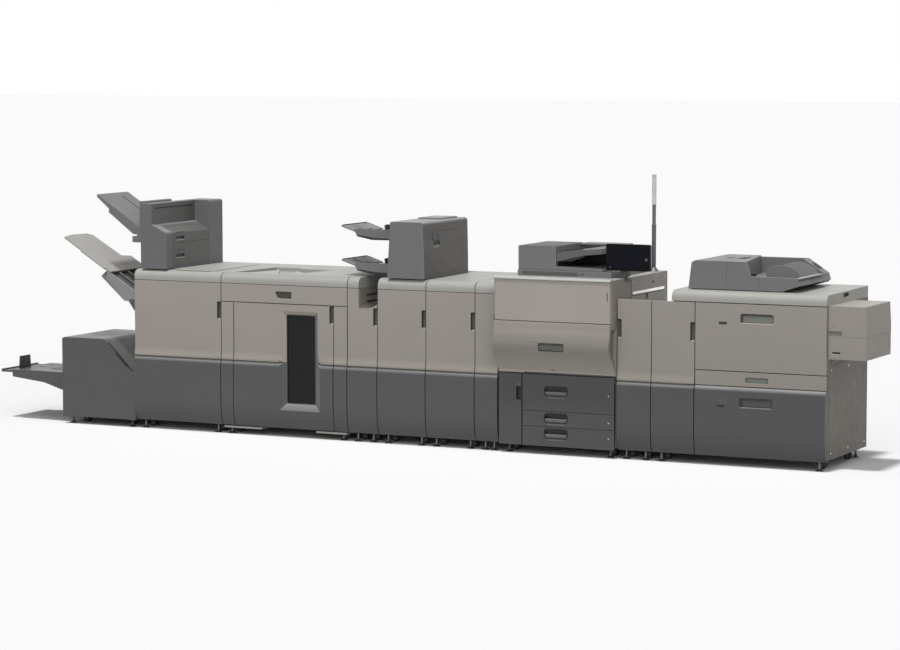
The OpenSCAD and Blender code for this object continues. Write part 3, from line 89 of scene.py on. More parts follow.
class Slot(str, Enum):
    """Material slots of the record."""

    CREAM = "cream_cover"
    LID = "pale_lid"
    DARK = "dark_cover"
    CARCASS = "carcass_grey"
    BOX = "box_grey"
    TRAY = "black_tray"
    PLATE = "pale_plate"
    WINDOW = "smoked_window"
    PLATEN = "platen_glass"
    TABLE = "table_metal"
    TONER = "toner_black"
    PANEL = "panel_black"
    POLE = "pole_grey"
    LAMP = "lamp_white"
    FOOT = "foot_steel"
    CASTER = "caster_rubber"


# Finishes


class Sheet:
    """A material's node sheet, with short calls for the nodes that the finishes share."""

    def __init__(self, name: str) -> None:
        """Starts an empty material with its shader.

        Args:
            name: name of the material.
        """
        self.material = bpy.data.materials.new(name)
        self.material.use_nodes = True
        self.tree = self.material.node_tree
        self.shader = self.tree.nodes["Principled BSDF"]
        self.place = self.add("ShaderNodeTexCoord").outputs["Object"]

    def add(self, kind: str, **settings: object) -> bpy.types.Node:
        """Adds a node and sets its properties.

        Args:
            kind: Blender's name of the node type.
            settings: properties of the node.

        Returns:
            The new node.
        """
        node = self.tree.nodes.new(kind)
        for key, value in settings.items():
            setattr(node, key, value)
        return node

    def join(self, start: bpy.types.NodeSocket, end: bpy.types.NodeSocket) -> None:
        """Links one socket to another."""
        self.tree.links.new(start, end)

    def stretched(self, scale: Triple) -> bpy.types.NodeSocket:
        """Object coordinates scaled by axis, for a pattern that runs one way.

        Args:
            scale: the scale of each axis.

        Returns:
            The socket of the coordinates.
        """
        node = self.add("ShaderNodeMapping")
        node.inputs["Scale"].default_value = scale
        self.join(self.place, node.inputs["Vector"])
        return node.outputs["Vector"]

    def noise(self, scale: float, detail: float = 2,
              where: bpy.types.NodeSocket | None = None) -> bpy.types.NodeSocket:
        """A noise pattern.

        Args:
            scale: its scale per metre.
            detail: how many finer layers it has.
            where: coordinates that it reads, or None for the plain ones.

        Returns:
            The socket of the pattern's value.
        """
        node = self.add("ShaderNodeTexNoise")
        node.inputs["Scale"].default_value = scale
        node.inputs["Detail"].default_value = detail
        self.join(where or self.place, node.inputs["Vector"])
        return node.outputs["Fac"]

    def spread(self, value: bpy.types.NodeSocket, low: float, high: float, start: float = 0.3,
               end: float = 0.7) -> bpy.types.NodeSocket:
        """The value mapped from start..end to low..high.

        Args:
            value: the value.
            low: the result at the start.
            high: the result at the end.
            start: the value that gives low.
            end: the value that gives high.

        Returns:
            The socket of the result.
        """
        node = self.add("ShaderNodeMapRange")
        for key, number in (("From Min", start), ("From Max", end), ("To Min", low), ("To Max", high)):
            node.inputs[key].default_value = number
        self.join(value, node.inputs["Value"])
        return node.outputs["Result"]

    def tint(self, share: bpy.types.NodeSocket, first: Triple, second: Triple) -> bpy.types.NodeSocket:
        """A colour between two, by a share from 0 to 1.

        Args:
            share: the share of the second colour.
            first: the colour at 0.
            second: the colour at 1.

        Returns:
            The socket of the colour.
        """
        node = self.add("ShaderNodeMix", data_type="RGBA")
        node.inputs[6].default_value = (*first, 1)
        node.inputs[7].default_value = (*second, 1)
        self.join(share, node.inputs[0])
        return node.outputs[2]

    def banded(self, place: bpy.types.NodeSocket, bands: Sequence[Pair]) -> bpy.types.NodeSocket:
        """A share by place, between bands that each give a place and its share.

        Args:
            place: the place, from 0 to 1.
            bands: the bands, as (place, share).

        Returns:
            The socket of the share.
        """
        node = self.add("ShaderNodeValToRGB")
        stops = node.color_ramp.elements
        for i, (at, share) in enumerate(bands):
            stop = stops[i] if i < len(stops) else stops.new(at)
            stop.position, stop.color = at, (share, share, share, 1)
        self.join(place, node.inputs[0])
        return node.outputs[0]

    def dimmed(self, colour: bpy.types.NodeSocket, *shares: bpy.types.NodeSocket) -> bpy.types.NodeSocket:
        """The colour times each of the shares.

        Args:
            colour: the colour.
            shares: the shares.

        Returns:
            The socket of the colour.
        """
        for share in shares:
            node = self.add("ShaderNodeMix", data_type="RGBA")
            node.inputs[6].default_value = (0, 0, 0, 1)
            self.join(colour, node.inputs[7])
            self.join(share, node.inputs[0])
            colour = node.outputs[2]
        return colour

    def relief(self, height: bpy.types.NodeSocket, strength: float, depth: float) -> None:
        """Gives the shader a bump from a height pattern.

        Args:
            height: the pattern.
            strength: strength of the bump.
            depth: its depth in metres.
        """
        node = self.add("ShaderNodeBump")
        node.inputs["Strength"].default_value = strength
        node.inputs["Distance"].default_value = depth
        self.join(height, node.inputs["Height"])
        self.join(node.outputs["Normal"], self.shader.inputs["Normal"])

    def feed(self, key: str, value: bpy.types.NodeSocket | float | tuple[float, ...]) -> None:
        """Sets one of the shader's inputs to a value, or links it to a socket.

        Args:
            key: name of the input.
            value: the value or the socket.
        """
        if isinstance(value, bpy.types.NodeSocket):
            self.join(value, self.shader.inputs[key])
        else:
            self.shader.inputs[key].default_value = value


def shade(colour: Triple, factor: float) -> Triple:
    """The colour made lighter or darker by a factor."""
    return tuple(min(1, part * factor) for part in colour)


@dataclass(frozen=True)
class Finish:
    """A finish with a colour, in linear light, and a roughness."""

    name: str
    colour: Triple
    rough: float = 0.5
    made: ClassVar[dict[str, bpy.types.Material]] = {}

    def material(self) -> bpy.types.Material:
        """The finish's material, made at its first use.

        Returns:
            The material.
        """
        if self.name not in self.made:
            sheet = Sheet(self.name)
            self.lay(sheet)
            self.made[self.name] = sheet.material
        return self.made[self.name]

    def lay(self, sheet: Sheet) -> None:
        """Draws the finish's nodes on the sheet."""
        raise NotImplementedError


@dataclass(frozen=True)
class MouldedPlastic(Finish):
    """Spark-eroded plastic cover: fine grain, faint flow marks and cloudy colour, which can be darkened by
    height and along the line as painted shade.
    """

    grain: float = 620
    depth: float = 0.00022
    cloud: float = 0.035
    # The height bands and the right-end tone darken the colour towards the floor and the line's right end:
    # painted shade.
    bands: tuple[Pair, ...] = ((0, 1), (1, 1))
    shade_to_right: float = 1
    shine: float = 0.42

    def lay(self, sheet: Sheet) -> None:
        """Cloudy colour, darkened by height and along the line as painted shade, uneven gloss and grain.

        Args:
            sheet: the material's node sheet.
        """
        cloud = sheet.noise(1.7, 3)
        flow = sheet.noise(26, 2, sheet.stretched((0.3, 0.3, 1)))
        both = sheet.add("ShaderNodeMath", operation="MULTIPLY_ADD")
        both.inputs[1].default_value = 0.35
        sheet.join(flow, both.inputs[0])
        sheet.join(cloud, both.inputs[2])
        share = sheet.spread(both.outputs[0], 0, 1, 0.4, 0.95)
        colour = sheet.tint(share, shade(self.colour, 1 - self.cloud), shade(self.colour, 1 + self.cloud))
        place = sheet.add("ShaderNodeSeparateXYZ")
        sheet.join(sheet.place, place.inputs[0])
        # Painted shade: darker by the height bands and towards the line's right end.
        painted_shade_by_height = sheet.banded(place.outputs["Z"], self.bands)
        painted_shade_along_line = sheet.spread(place.outputs["X"], 1, self.shade_to_right, -0.4, 1.6)
        sheet.feed("Base Color", sheet.dimmed(colour, painted_shade_by_height, painted_shade_along_line))
        sheet.feed("Roughness", sheet.spread(flow, self.rough - 0.05, self.rough + 0.06))
        sheet.feed("Specular IOR Level", self.shine)
        sheet.relief(sheet.noise(self.grain, 1), 0.35, self.depth)


@dataclass(frozen=True)
class CoatedSteel(Finish):
    """Powder-coated sheet steel: orange-peel skin and a little dust towards the floor."""

    peel: float = 190

    def lay(self, sheet: Sheet) -> None:
        """Cloudy colour, dusty foot and orange peel.

        Args:
            sheet: the material's node sheet.
        """
        split = sheet.add("ShaderNodeSeparateXYZ")
        sheet.join(sheet.place, split.inputs[0])
        foot = sheet.spread(split.outputs["Z"], 0.9, 1, 0, 0.45)
        dusty = sheet.add("ShaderNodeMath", operation="MULTIPLY")
        sheet.join(sheet.spread(sheet.noise(5, 4), 0.93, 1), dusty.inputs[0])
        sheet.join(foot, dusty.inputs[1])
        sheet.feed("Base Color", sheet.tint(dusty.outputs[0], (0, 0, 0), self.colour))
        sheet.feed("Roughness", sheet.spread(sheet.noise(14, 3), self.rough - 0.06, self.rough + 0.08))
        sheet.relief(sheet.noise(self.peel, 2), 0.3, 0.0003)


@dataclass(frozen=True)
class BareMetal(Finish):
    """Plated or brushed metal, drawn along one axis."""

    drawn: Triple = (1, 1, 12)

    def lay(self, sheet: Sheet) -> None:
        """Fine draw lines in the gloss and the relief.

        Args:
            sheet: the material's node sheet.
        """
        lines = sheet.noise(240, 3, sheet.stretched(self.drawn))
        sheet.feed("Base Color",
                   sheet.tint(sheet.spread(sheet.noise(9), 0, 1), shade(self.colour, 0.93), self.colour))
        sheet.feed("Metallic", 1)
        sheet.feed("Roughness", sheet.spread(lines, self.rough - 0.08, self.rough + 0.08))
        sheet.relief(lines, 0.15, 0.0001)


@dataclass(frozen=True)
class Rubber(Finish):
    """Matt rubber with a dusty bloom."""

    def lay(self, sheet: Sheet) -> None:
        """Bloom in the colour and a rough skin.

        Args:
            sheet: the material's node sheet.
        """
        bloom = sheet.spread(sheet.noise(55, 4), 0, 1, 0.45, 0.8)
        sheet.feed("Base Color", sheet.tint(bloom, self.colour, shade(self.colour, 1.9)))
        sheet.feed("Roughness", sheet.spread(sheet.noise(120), self.rough - 0.05, self.rough + 0.1))
        sheet.relief(sheet.noise(800, 1), 0.3, 0.0002)


@dataclass(frozen=True)
class Pane(Finish):
    """A clear or smoked pane with the faintest smears."""

    clear: float = 0.9
    gloss: float = 0.5

    def lay(self, sheet: Sheet) -> None:
        """Transmission with a smeared gloss.

        Args:
            sheet: the material's node sheet.
        """
        smear = sheet.noise(6, 4, sheet.stretched((1, 1, 0.3)))
        sheet.feed("Base Color", sheet.tint(sheet.spread(smear, 0, 1), shade(self.colour, 0.9), self.colour))
        sheet.feed("Roughness", sheet.spread(smear, self.rough, self.rough + 0.05))
        sheet.feed("Transmission Weight", self.clear)
        sheet.feed("IOR", 1.45)
        sheet.feed("Specular IOR Level", self.gloss)
        sheet.relief(sheet.noise(3, 1), 0.05, 0.0005)


@dataclass(frozen=True)
class Screen(Finish):
    """A dark display under glass, with the faint dots of its panel."""

    def lay(self, sheet: Sheet) -> None:
        """Dot pattern in the colour under a dull gloss.

        Args:
            sheet: the material's node sheet.
        """
        dots = sheet.add("ShaderNodeTexVoronoi", feature="F1")
        dots.inputs["Scale"].default_value = 700
        sheet.join(sheet.place, dots.inputs["Vector"])
        share = sheet.spread(dots.outputs["Distance"], 1, 0, 0, 0.6)
        sheet.feed("Base Color", sheet.tint(share, shade(self.colour, 0.85), shade(self.colour, 1.15)))
        sheet.feed("Roughness", sheet.spread(sheet.noise(7, 4), self.rough, self.rough + 0.1))
        sheet.feed("Specular IOR Level", 0.1)
        sheet.relief(sheet.noise(90), 0.02, 0.0001)


@dataclass(frozen=True)
class Lens(Finish):
    """A translucent ribbed lens."""

    def lay(self, sheet: Sheet) -> None:
        """Milky body with rings round it.

        Args:
            sheet: the material's node sheet.
        """
        rings = sheet.add("ShaderNodeTexWave", wave_type="BANDS", bands_direction="Z")
        rings.inputs["Scale"].default_value = 60
        sheet.join(sheet.place, rings.inputs["Vector"])
        sheet.feed("Base Color",
                   sheet.tint(sheet.spread(sheet.noise(30), 0, 1), shade(self.colour, 0.95), self.colour))
        sheet.feed("Roughness", sheet.spread(rings.outputs["Fac"], self.rough, self.rough + 0.12, 0, 1))
        sheet.feed("Transmission Weight", 0.25)
        sheet.relief(rings.outputs["Fac"], 0.35, 0.0006)


# The cream covers are darkened towards the floor and towards the line's right end: painted shade.
CREAM = MouldedPlastic("cream_cover", (0.41, 0.378, 0.342), 0.48, bands=((0.45, 0.89), (0.95, 1)),
                       shade_to_right=0.91)
CREAM_PROUD = MouldedPlastic("cream_engine", (0.445, 0.412, 0.373), 0.46)
# The bulge is darkened through its lower half, where its face turns down: painted shade.
CREAM_BULGE_SHADED = MouldedPlastic("cream_bulge_painted_shade", (0.51, 0.47, 0.422), 0.5,
                             bands=((0.52, 1), (0.55, 0.9), (0.6, 0.7), (0.65, 0.51), (0.7, 0.51),
                                    (0.735, 0.67), (0.79, 0.8)))
PALE = MouldedPlastic("pale_lid", (0.42, 0.416, 0.39), 0.5, grain=520)
# The dark covers are darkened towards the line's right end: painted shade.
DARK = MouldedPlastic("dark_cover", (0.096, 0.096, 0.1), 0.4, shade_to_right=0.88)
DARK_ENGINE = MouldedPlastic("dark_engine", (0.08, 0.08, 0.083), 0.42)
BOX = MouldedPlastic("box_grey", (0.185, 0.186, 0.191), 0.46)
# A darker copy of the box grey, used mostly on faces turned to the right: painted shade.
BOX_SHADED_SIDE = MouldedPlastic("box_grey_side", (0.13, 0.127, 0.122), 0.5)
BOX_LEFT = MouldedPlastic("box_grey_left", (0.155, 0.155, 0.16), 0.46)
# A deeper shaded copy of the box grey for the tower's right side and its door: painted shade.
BOX_SHADED_DEEP = MouldedPlastic("box_grey_side_deep", (0.112, 0.107, 0.101), 0.5)
# A lighter copy of the box grey for the tower's top: painted light.
BOX_LIT_TOP = MouldedPlastic("box_grey_painted_light", (0.26, 0.26, 0.255), 0.44)
# A lighter copy of the box grey for the cover feeder's shelf top and the top feeder's rear fence: painted
# light.
BOX_LIT_SHELF = MouldedPlastic("box_shelf_painted_light", (0.3, 0.295, 0.298), 0.42)
BOX_TOP = MouldedPlastic("box_grey_top", (0.068, 0.068, 0.07), 0.5)
# A lighter copy of the dark cover for the trimmer's top faces: painted light.
DARK_LIT_TOP = MouldedPlastic("dark_cover_top_painted_light", (0.128, 0.128, 0.131), 0.4)
SHADOW_GREY = MouldedPlastic("recess_grey", (0.075, 0.076, 0.07), 0.55)
CUP_GREY = MouldedPlastic("grip_grey", (0.1, 0.104, 0.092), 0.5)
BLACK = MouldedPlastic("black_tray", (0.012, 0.012, 0.013), 0.5)
PITCH = MouldedPlastic("pitch_black", (0.003, 0.003, 0.003), 0.6)
SOFT_BLACK = MouldedPlastic("soft_black", (0.04, 0.04, 0.043), 0.5)
PLATE = MouldedPlastic("pale_plate", (0.41, 0.398, 0.375), 0.46)
LEVER = MouldedPlastic("lever_green", (0.05, 0.2, 0.13), 0.4)
SIDE = CoatedSteel("side_panel", (0.34, 0.318, 0.29), 0.5)
# A darker copy of the side panel colour for the large feeder's shell and right side: painted shade.
SIDE_SHADED = CoatedSteel("side_panel_right_painted_shade", (0.15, 0.128, 0.104), 0.5)
BAY = CoatedSteel("bay_steel", (0.42, 0.42, 0.41), 0.45)
BAY_DARK = CoatedSteel("bay_dark", (0.016, 0.016, 0.017), 0.6)
TABLE = CoatedSteel("table_steel", (0.11, 0.11, 0.113), 0.42)
STEEL = BareMetal("plated_steel", (0.72, 0.72, 0.73), 0.26)
FOOT_METAL = BareMetal("foot_metal", (0.16, 0.16, 0.165), 0.4)
POLE = BareMetal("pole_metal", (0.14, 0.14, 0.145), 0.45)
TREAD = Rubber("tread_rubber", (0.016, 0.016, 0.017), 0.7)
ROLLER = Rubber("roller_rubber", (0.05, 0.05, 0.055), 0.6)
SMOKED = Pane("smoked_pane", (0.012, 0.012, 0.013), 0.06, clear=0.5, gloss=0.06)
GLASS = Pane("clear_glass", (0.75, 0.82, 0.83), 0.02)
BEZEL = Screen("panel_bezel", (0.0045, 0.0045, 0.006), 0.3)
DISPLAY = Screen("panel_display", (0.0045, 0.0052, 0.011), 0.25)
LENS = Lens("signal_lens", (0.86, 0.88, 0.89), 0.3)
RAIL = BareMetal("bright_rail", (0.95, 0.95, 0.94), 0.5)
MARK = MouldedPlastic("mark_white", (0.62, 0.62, 0.6), 0.5)
# Lighter bands on the dark covers' top bevel and on the window dish's lower and right faces: painted
# highlight.
EDGE_HIGHLIGHT = MouldedPlastic("cover_edge_painted_highlight", (0.27, 0.268, 0.26), 0.36)
EDGE_SOFT_HIGHLIGHT = MouldedPlastic("cover_edge_soft_painted_highlight", (0.165, 0.165, 0.163), 0.4)
# A colour lighter than the covers for the lower lips of grips and pockets: painted highlight.
SILL_HIGHLIGHT = MouldedPlastic("grip_sill_painted_highlight", (0.5, 0.5, 0.47), 0.45)
# A darkened copy of the cream for the notch walls, the engine's side column and small marks where they lie in
# shade: painted shade.
CREAM_SHADED = MouldedPlastic("cream_painted_shade", (0.3, 0.27, 0.235), 0.55)
CUP_PALE = MouldedPlastic("grip_pale", (0.27, 0.275, 0.245), 0.5)
FLAP_CUP = MouldedPlastic("flap_grip", (0.25, 0.262, 0.235), 0.5)
BOX_DARK = MouldedPlastic("box_grey_dark", (0.1, 0.1, 0.103), 0.48)
TRAY_FLOOR = MouldedPlastic("tray_floor", (0.12, 0.12, 0.125), 0.4)
PALE_DISH = MouldedPlastic("pale_dish", (0.37, 0.37, 0.35), 0.52, grain=520)
RIM = MouldedPlastic("top_rim", (0.56, 0.56, 0.54), 0.4)
SLAT = MouldedPlastic("pull_slat", (0.2, 0.21, 0.185), 0.5)
MESH_GREY = MouldedPlastic("pull_floor", (0.08, 0.085, 0.075), 0.55)
# Lighter colours for the dark drawers' grip bars and lips, real parts given a painted highlight.
GRIP_BAR_HIGHLIGHT = MouldedPlastic("drawer_bar_painted_highlight", (0.24, 0.24, 0.24), 0.34)
GRIP_LIP_HIGHLIGHT = MouldedPlastic("drawer_lip_painted_highlight", (0.15, 0.15, 0.152), 0.4)
TAG = MouldedPlastic("blank_tag", (0.37, 0.345, 0.315), 0.5)
TAG_DARK = MouldedPlastic("blank_tag_dark", (0.098, 0.098, 0.102), 0.5)
# A darkened copy of the bay steel for interiors seen through the window, the seams and the paper well:
# painted shade.
BAY_SHADED = CoatedSteel("bay_painted_shade", (0.12, 0.12, 0.12), 0.5)
BELT = Rubber("transfer_belt", (0.02, 0.02, 0.022), 0.35)
HUB = MouldedPlastic("caster_hub", (0.12, 0.12, 0.125), 0.4)
KEY = MouldedPlastic("panel_key", (0.1, 0.105, 0.11), 0.35)
LED_ON = MouldedPlastic("lamp_blue", (0.25, 0.42, 0.7), 0.3)
LED_OFF = MouldedPlastic("lamp_grey", (0.3, 0.3, 0.32), 0.3)
CAPS = (MouldedPlastic("cap_yellow", (0.62, 0.5, 0.04), 0.4),
        MouldedPlastic("cap_red", (0.45, 0.03, 0.16), 0.4),
        MouldedPlastic("cap_blue", (0.02, 0.2, 0.48), 0.4),
        MouldedPlastic("cap_black", (0.02, 0.02, 0.022), 0.4))


# Shapes


def rounded(x: float, z: float, w: float, h: float, r: float, steps: int = 4) -> list[Pair]:
    """Outline of a rectangle with rounded corners.

    Args:
        x: left edge.
        z: lower edge.
        w: width.
        h: height.
        r: corner radius.
        steps: steps of each corner.

    Returns:
        Its points, counter-clockwise.
    """
    corners = ((x + w - r, z + r, -90), (x + w - r, z + h - r, 0), (x + r, z + h - r, 90),
               (x + r, z + r, 180))
    return [(cx + r * math.cos(math.radians(turn + 90 * i / steps)),
             cz + r * math.sin(math.radians(turn + 90 * i / steps)))
            for cx, cz, turn in corners for i in range(steps + 1)]


@dataclass(frozen=True)
class Zone:
    """A layout box whose faces get a finish of their own."""

    low: Triple
    high: Triple
    finish: Finish
    facing: Triple | None = None

    def holds(self, centre: Vector, normal: Vector) -> bool:
        """Says whether a face with this centre and normal belongs to the zone."""
        inside = all(self.low[i] <= centre[i] <= self.high[i] for i in range(3))
        return inside and (self.facing is None or normal.dot(Vector(self.facing)) > 0.5)


FAR = 9000
LOWEST, HIGHEST = (-FAR, -FAR, -FAR), (FAR, FAR, FAR)
BEVEL_ANGLE, SHADE_ANGLE, FLAT_ANGLE = math.radians(35), math.radians(32), math.radians(0.8)
MERGE_GAP, BEVEL_ROOM = 0.01, 2.4


class Form:
    """A piece in the making: shapes in layout millimetres, gathered in one mesh."""

    def __init__(self, name: str) -> None:
        """Starts an empty piece.

        Args:
            name: name of the finished piece.
        """
        self.name = name
        self.mesh = bmesh.new()
        self.finishes: list[Finish] = []
        self.taken: list[str] = []

    def number(self, finish: Finish) -> int:
        """The finish's place among the piece's materials.

        Args:
            finish: the finish.

        Returns:
            Its index.
        """
        if finish not in self.finishes:
            self.finishes.append(finish)
        return self.finishes.index(finish)

    @staticmethod
    def soften(shape: bmesh.types.BMesh, edge: float, segments: int = 2, room: float = 0) -> None:
        """Bevels the sharp edges of a shape.

        Args:
            shape: the shape.
            edge: width of the bevel.
            segments: its segments.
            room: least length of the edges that meet a bevelled one, in bevel widths.
        """
        found = [e for e in shape.edges if e.is_manifold and e.calc_face_angle(0) > BEVEL_ANGLE
                 and (not room or min(n.calc_length() for v in e.verts for n in v.link_edges) > room * edge)]
        if edge and found:
            bmesh.ops.bevel(shape, geom=found, offset=edge, offset_type="OFFSET", affect="EDGES",
                            segments=segments, profile=0.5, material=-1, clamp_overlap=True)

    def gather(self, shape: bmesh.types.BMesh, finish: Finish | None, turn: Matrix | None = None) -> None:
        """Adds a shape to the piece and frees it.

        Args:
            shape: the shape, which is used up.
            finish: finish of all its faces, or None where they have their own.
            turn: a last turn or shift.
        """
        if finish is not None:
            index = self.number(finish)
            for face in shape.faces:
                face.material_index = index
        if turn is not None:
            bmesh.ops.transform(shape, matrix=turn, verts=shape.verts)
        data = bpy.data.meshes.new("shape")
        shape.to_mesh(data)
        shape.free()
        self.mesh.from_mesh(data)
        bpy.data.meshes.remove(data)

    def block(self, low: Triple, high: Triple, finish: Finish, edge: float = 1, segments: int = 2) -> "Form":
        """Adds a block with softened edges.

        Args:
            low: its lowest corner.
            high: its highest corner.
            finish: its finish.
            edge: width of its edges.
            segments: segments of its edges.

        Returns:
            The piece itself.
        """
        shape = bmesh.new()
        made = bmesh.ops.create_cube(shape, size=1)["verts"]
        lower, upper = Vector(low), Vector(high)
        bmesh.ops.scale(shape, vec=upper - lower, verts=made)
        bmesh.ops.translate(shape, vec=(lower + upper) / 2, verts=made)
        self.soften(shape, edge, segments)
        self.gather(shape, finish)
        return self

    @staticmethod
    def grown(outline: Sequence[Pair], axis: Axis, start: float, end: float) -> bmesh.types.BMesh:
        """Makes a shape of an outline extruded along an axis.

        Args:
            outline: its points across the axis.
            axis: the axis.
            start: where it starts along the axis.
            end: where it ends.

        Returns:
            The shape.
        """
        shape = bmesh.new()
        face = shape.faces.new([shape.verts.new(axis.point(start, u, v)) for u, v in outline])
        grown = bmesh.ops.extrude_face_region(shape, geom=[face])["geom"]
        bmesh.ops.translate(shape, vec=axis.point(end - start, 0, 0),
                            verts=[part for part in grown if isinstance(part, bmesh.types.BMVert)])
        bmesh.ops.recalc_face_normals(shape, faces=shape.faces)
        return shape

    def prism(self, outline: Sequence[Pair], axis: Axis, start: float, end: float, finish: Finish,
              edge: float = 0.8, segments: int = 2) -> "Form":
        """Adds an outline extruded along an axis.

        Args:
            outline: its points across the axis.
            axis: the axis.
            start: where it starts along the axis.
            end: where it ends.
            finish: its finish.
            edge: width of its softened edges.
            segments: segments of its edges.

        Returns:
            The piece itself.
        """
        shape = self.grown(outline, axis, start, end)
        self.soften(shape, edge, segments)
        self.gather(shape, finish)
        return self

    def lathe(self, profile: Sequence[Pair], base: Triple, finish: Finish, along: Triple = UPWARD,
              steps: int = 24) -> "Form":
        """Adds a turned shape.

        Args:
            profile: (radius, height) points from the base up.
            base: layout point at height zero.
            finish: its finish.
            along: direction of its axis.
            steps: steps round the axis.

        Returns:
            The piece itself.
        """
        shape = bmesh.new()
        points = [shape.verts.new((r, 0, h)) for r, h in profile]
        edges = [shape.edges.new(pair) for pair in zip(points, points[1:])]
        bmesh.ops.spin(shape, geom=[*points, *edges], cent=(0, 0, 0), axis=UPWARD, dvec=(0, 0, 0),
                       angle=math.tau, steps=steps, use_merge=True, use_duplicate=False)
        bmesh.ops.remove_doubles(shape, verts=shape.verts, dist=0.001)
        bmesh.ops.recalc_face_normals(shape, faces=shape.faces)
        lean = Vector(UPWARD).rotation_difference(Vector(along)).to_matrix().to_4x4()
        self.gather(shape, finish, Matrix.Translation(base) @ lean)
        return self

    def rod(self, base: Triple, radius: float, length: float, finish: Finish, along: Triple = UPWARD,
            steps: int = 16, edge: float = 0.8) -> "Form":
        """Adds a rod with chamfered ends.

        Args:
            base: layout point of the middle of its first end.
            radius: its radius.
            length: its length.
            finish: its finish.
            along: direction of its axis.
            steps: steps round the axis.
            edge: width of its chamfers.

        Returns:
            The piece itself.
        """
        profile = [(0, 0), (radius - edge, 0), (radius, edge), (radius, length - edge),
                   (radius - edge, length), (0, length)]
        return self.lathe(profile, base, finish, along, steps)

    def frame_ring(self, outer: Sequence[Pair], inner: Sequence[Pair], axis: Axis, start: float, end: float,
                   finish: Finish, edge: float = 0.8) -> "Form":
        """Adds a flat ring between two outlines with the same count of points.

        Args:
            outer: its outer points.
            inner: its inner points.
            axis: the axis across it.
            start: where it starts along the axis.
            end: where it ends.
            finish: its finish.
            edge: width of its softened edges.

        Returns:
            The piece itself.
        """
        shape = bmesh.new()
        loops: list[bmesh.types.BMEdge] = []
        for outline in (outer, inner):
            points = [shape.verts.new(axis.point(start, u, v)) for u, v in outline]
            loops += [shape.edges.new((a, b)) for a, b in zip(points, points[1:] + points[:1])]
        bmesh.ops.bridge_loops(shape, edges=loops)
        grown = bmesh.ops.extrude_face_region(shape, geom=list(shape.faces))["geom"]
        bmesh.ops.translate(shape, vec=axis.point(end - start, 0, 0),
                            verts=[part for part in grown if isinstance(part, bmesh.types.BMVert)])
        bmesh.ops.recalc_face_normals(shape, faces=shape.faces)
        self.soften(shape, edge)
        self.gather(shape, finish)
        return self

    def screws(self, places: Sequence[Triple], facing: Triple, r: float = 5) -> "Form":
        """Adds pan-head screws of plated steel.

        Args:
            places: layout points of their seats.
            facing: direction that the heads face.
            r: radius of a head.

        Returns:
            The piece itself.
        """
        head = [(0, 0.6), (r * 0.3, 0.6), (r * 0.34, 2.4), (r * 0.7, 2.2), (r * 0.95, 1.2), (r, 0), (0, 0)]
        for place in places:
            self.lathe(head, place, STEEL, facing, 10)
        return self

    def louvres(self, low: Pair, high: Pair, face: float, count: int, finish: Finish) -> "Form":
        """Adds a field of louvred slots on a rear panel.

        Args:
            low: lowest (x, z) corner of the field.
            high: highest corner.
            face: y of the panel.
            count: how many slots.
            finish: finish of the hoods over them.

        Returns:
            The piece itself.
        """
        pitch = (high[1] - low[1]) / count
        for i in range(count):
            z = low[1] + pitch * (i + 0.5)
            self.block((low[0], face, z - pitch * 0.28), (high[0], face + 0.6, z), BAY_DARK, 0)
            self.block((low[0], face, z), (high[0], face + 4, z + pitch * 0.22), finish, 1, 1)
        return self

    def take(self, node: str, finish: Finish, zones: Sequence[Zone] = (), edge: float = 1.2,
             rework: Callable[[bmesh.types.BMesh], None] | None = None) -> "Form":
        """Adds a merged copy of a CAD node, with zones of finishes and softened edges.

        Args:
            node: name of the node.
            finish: finish of every face outside the zones.
            zones: zones with finishes of their own; a later one wins.
            edge: width of the softened edges.
            rework: changes the copy before its faces get their finishes.

        Returns:
            The piece itself.
        """
        shape = bmesh.new()
        shape.from_mesh(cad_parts[node].data)
        bmesh.ops.transform(shape, matrix=TO_LAYOUT, verts=shape.verts)
        bmesh.ops.remove_doubles(shape, verts=shape.verts, dist=MERGE_GAP)
        bmesh.ops.dissolve_limit(shape, angle_limit=FLAT_ANGLE, use_dissolve_boundaries=False,
                                 verts=shape.verts, edges=shape.edges)
        if rework:
            rework(shape)
        self.taken.append(node)
        base = self.number(finish)
        for face in shape.faces:
            centre, face.material_index = face.calc_center_median(), base
            for zone in zones:
                if zone.holds(centre, face.normal):
                    face.material_index = self.number(zone.finish)
        self.soften(shape, edge, room=BEVEL_ROOM)
        self.gather(shape, None)
        return self

    def complete(self, body: str, slot: Slot, *nodes: str) -> bpy.types.Object:
        """Makes the piece's object, hangs it on its body's empty, and hides the CAD nodes that it stands for.

        Args:
            body: the CAD body that it rides on.
            slot: not used.
            nodes: CAD nodes that it replaces besides those that it took.

        Returns:
            The object.
        """
        bmesh.ops.transform(self.mesh, matrix=TO_FRAME, verts=self.mesh.verts)
        data = bpy.data.meshes.new(self.name)
        self.mesh.to_mesh(data)
        self.mesh.free()
        data.polygons.foreach_set("use_smooth", [True] * len(data.polygons))
        data.set_sharp_from_angle(angle=SHADE_ANGLE)
        for finish in self.finishes:
            data.materials.append(finish.material())
        piece = bpy.data.objects.new(self.name, data)
        bpy.context.scene.collection.objects.link(piece)
        even = piece.modifiers.new("even_normals", "WEIGHTED_NORMAL")
        even.weight, even.keep_sharp = 90, True
        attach(piece, body)
        nodes = (*self.taken, *nodes)
        if nodes:
            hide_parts(*nodes)
        LOG.info("%s: %d faces on %s", self.name, len(data.polygons), body)
        return piece


def dress_node(name: str, node: str, body: str, slot: Slot, finish: Finish, zones: Sequence[Zone] = (),
               edge: float = 1.2) -> None:
    """Makes a piece of one CAD node, with nothing added to it, that rides on a body."""
    Form(name).take(node, finish, zones, edge).complete(body, slot)


# Sizes that several pieces share

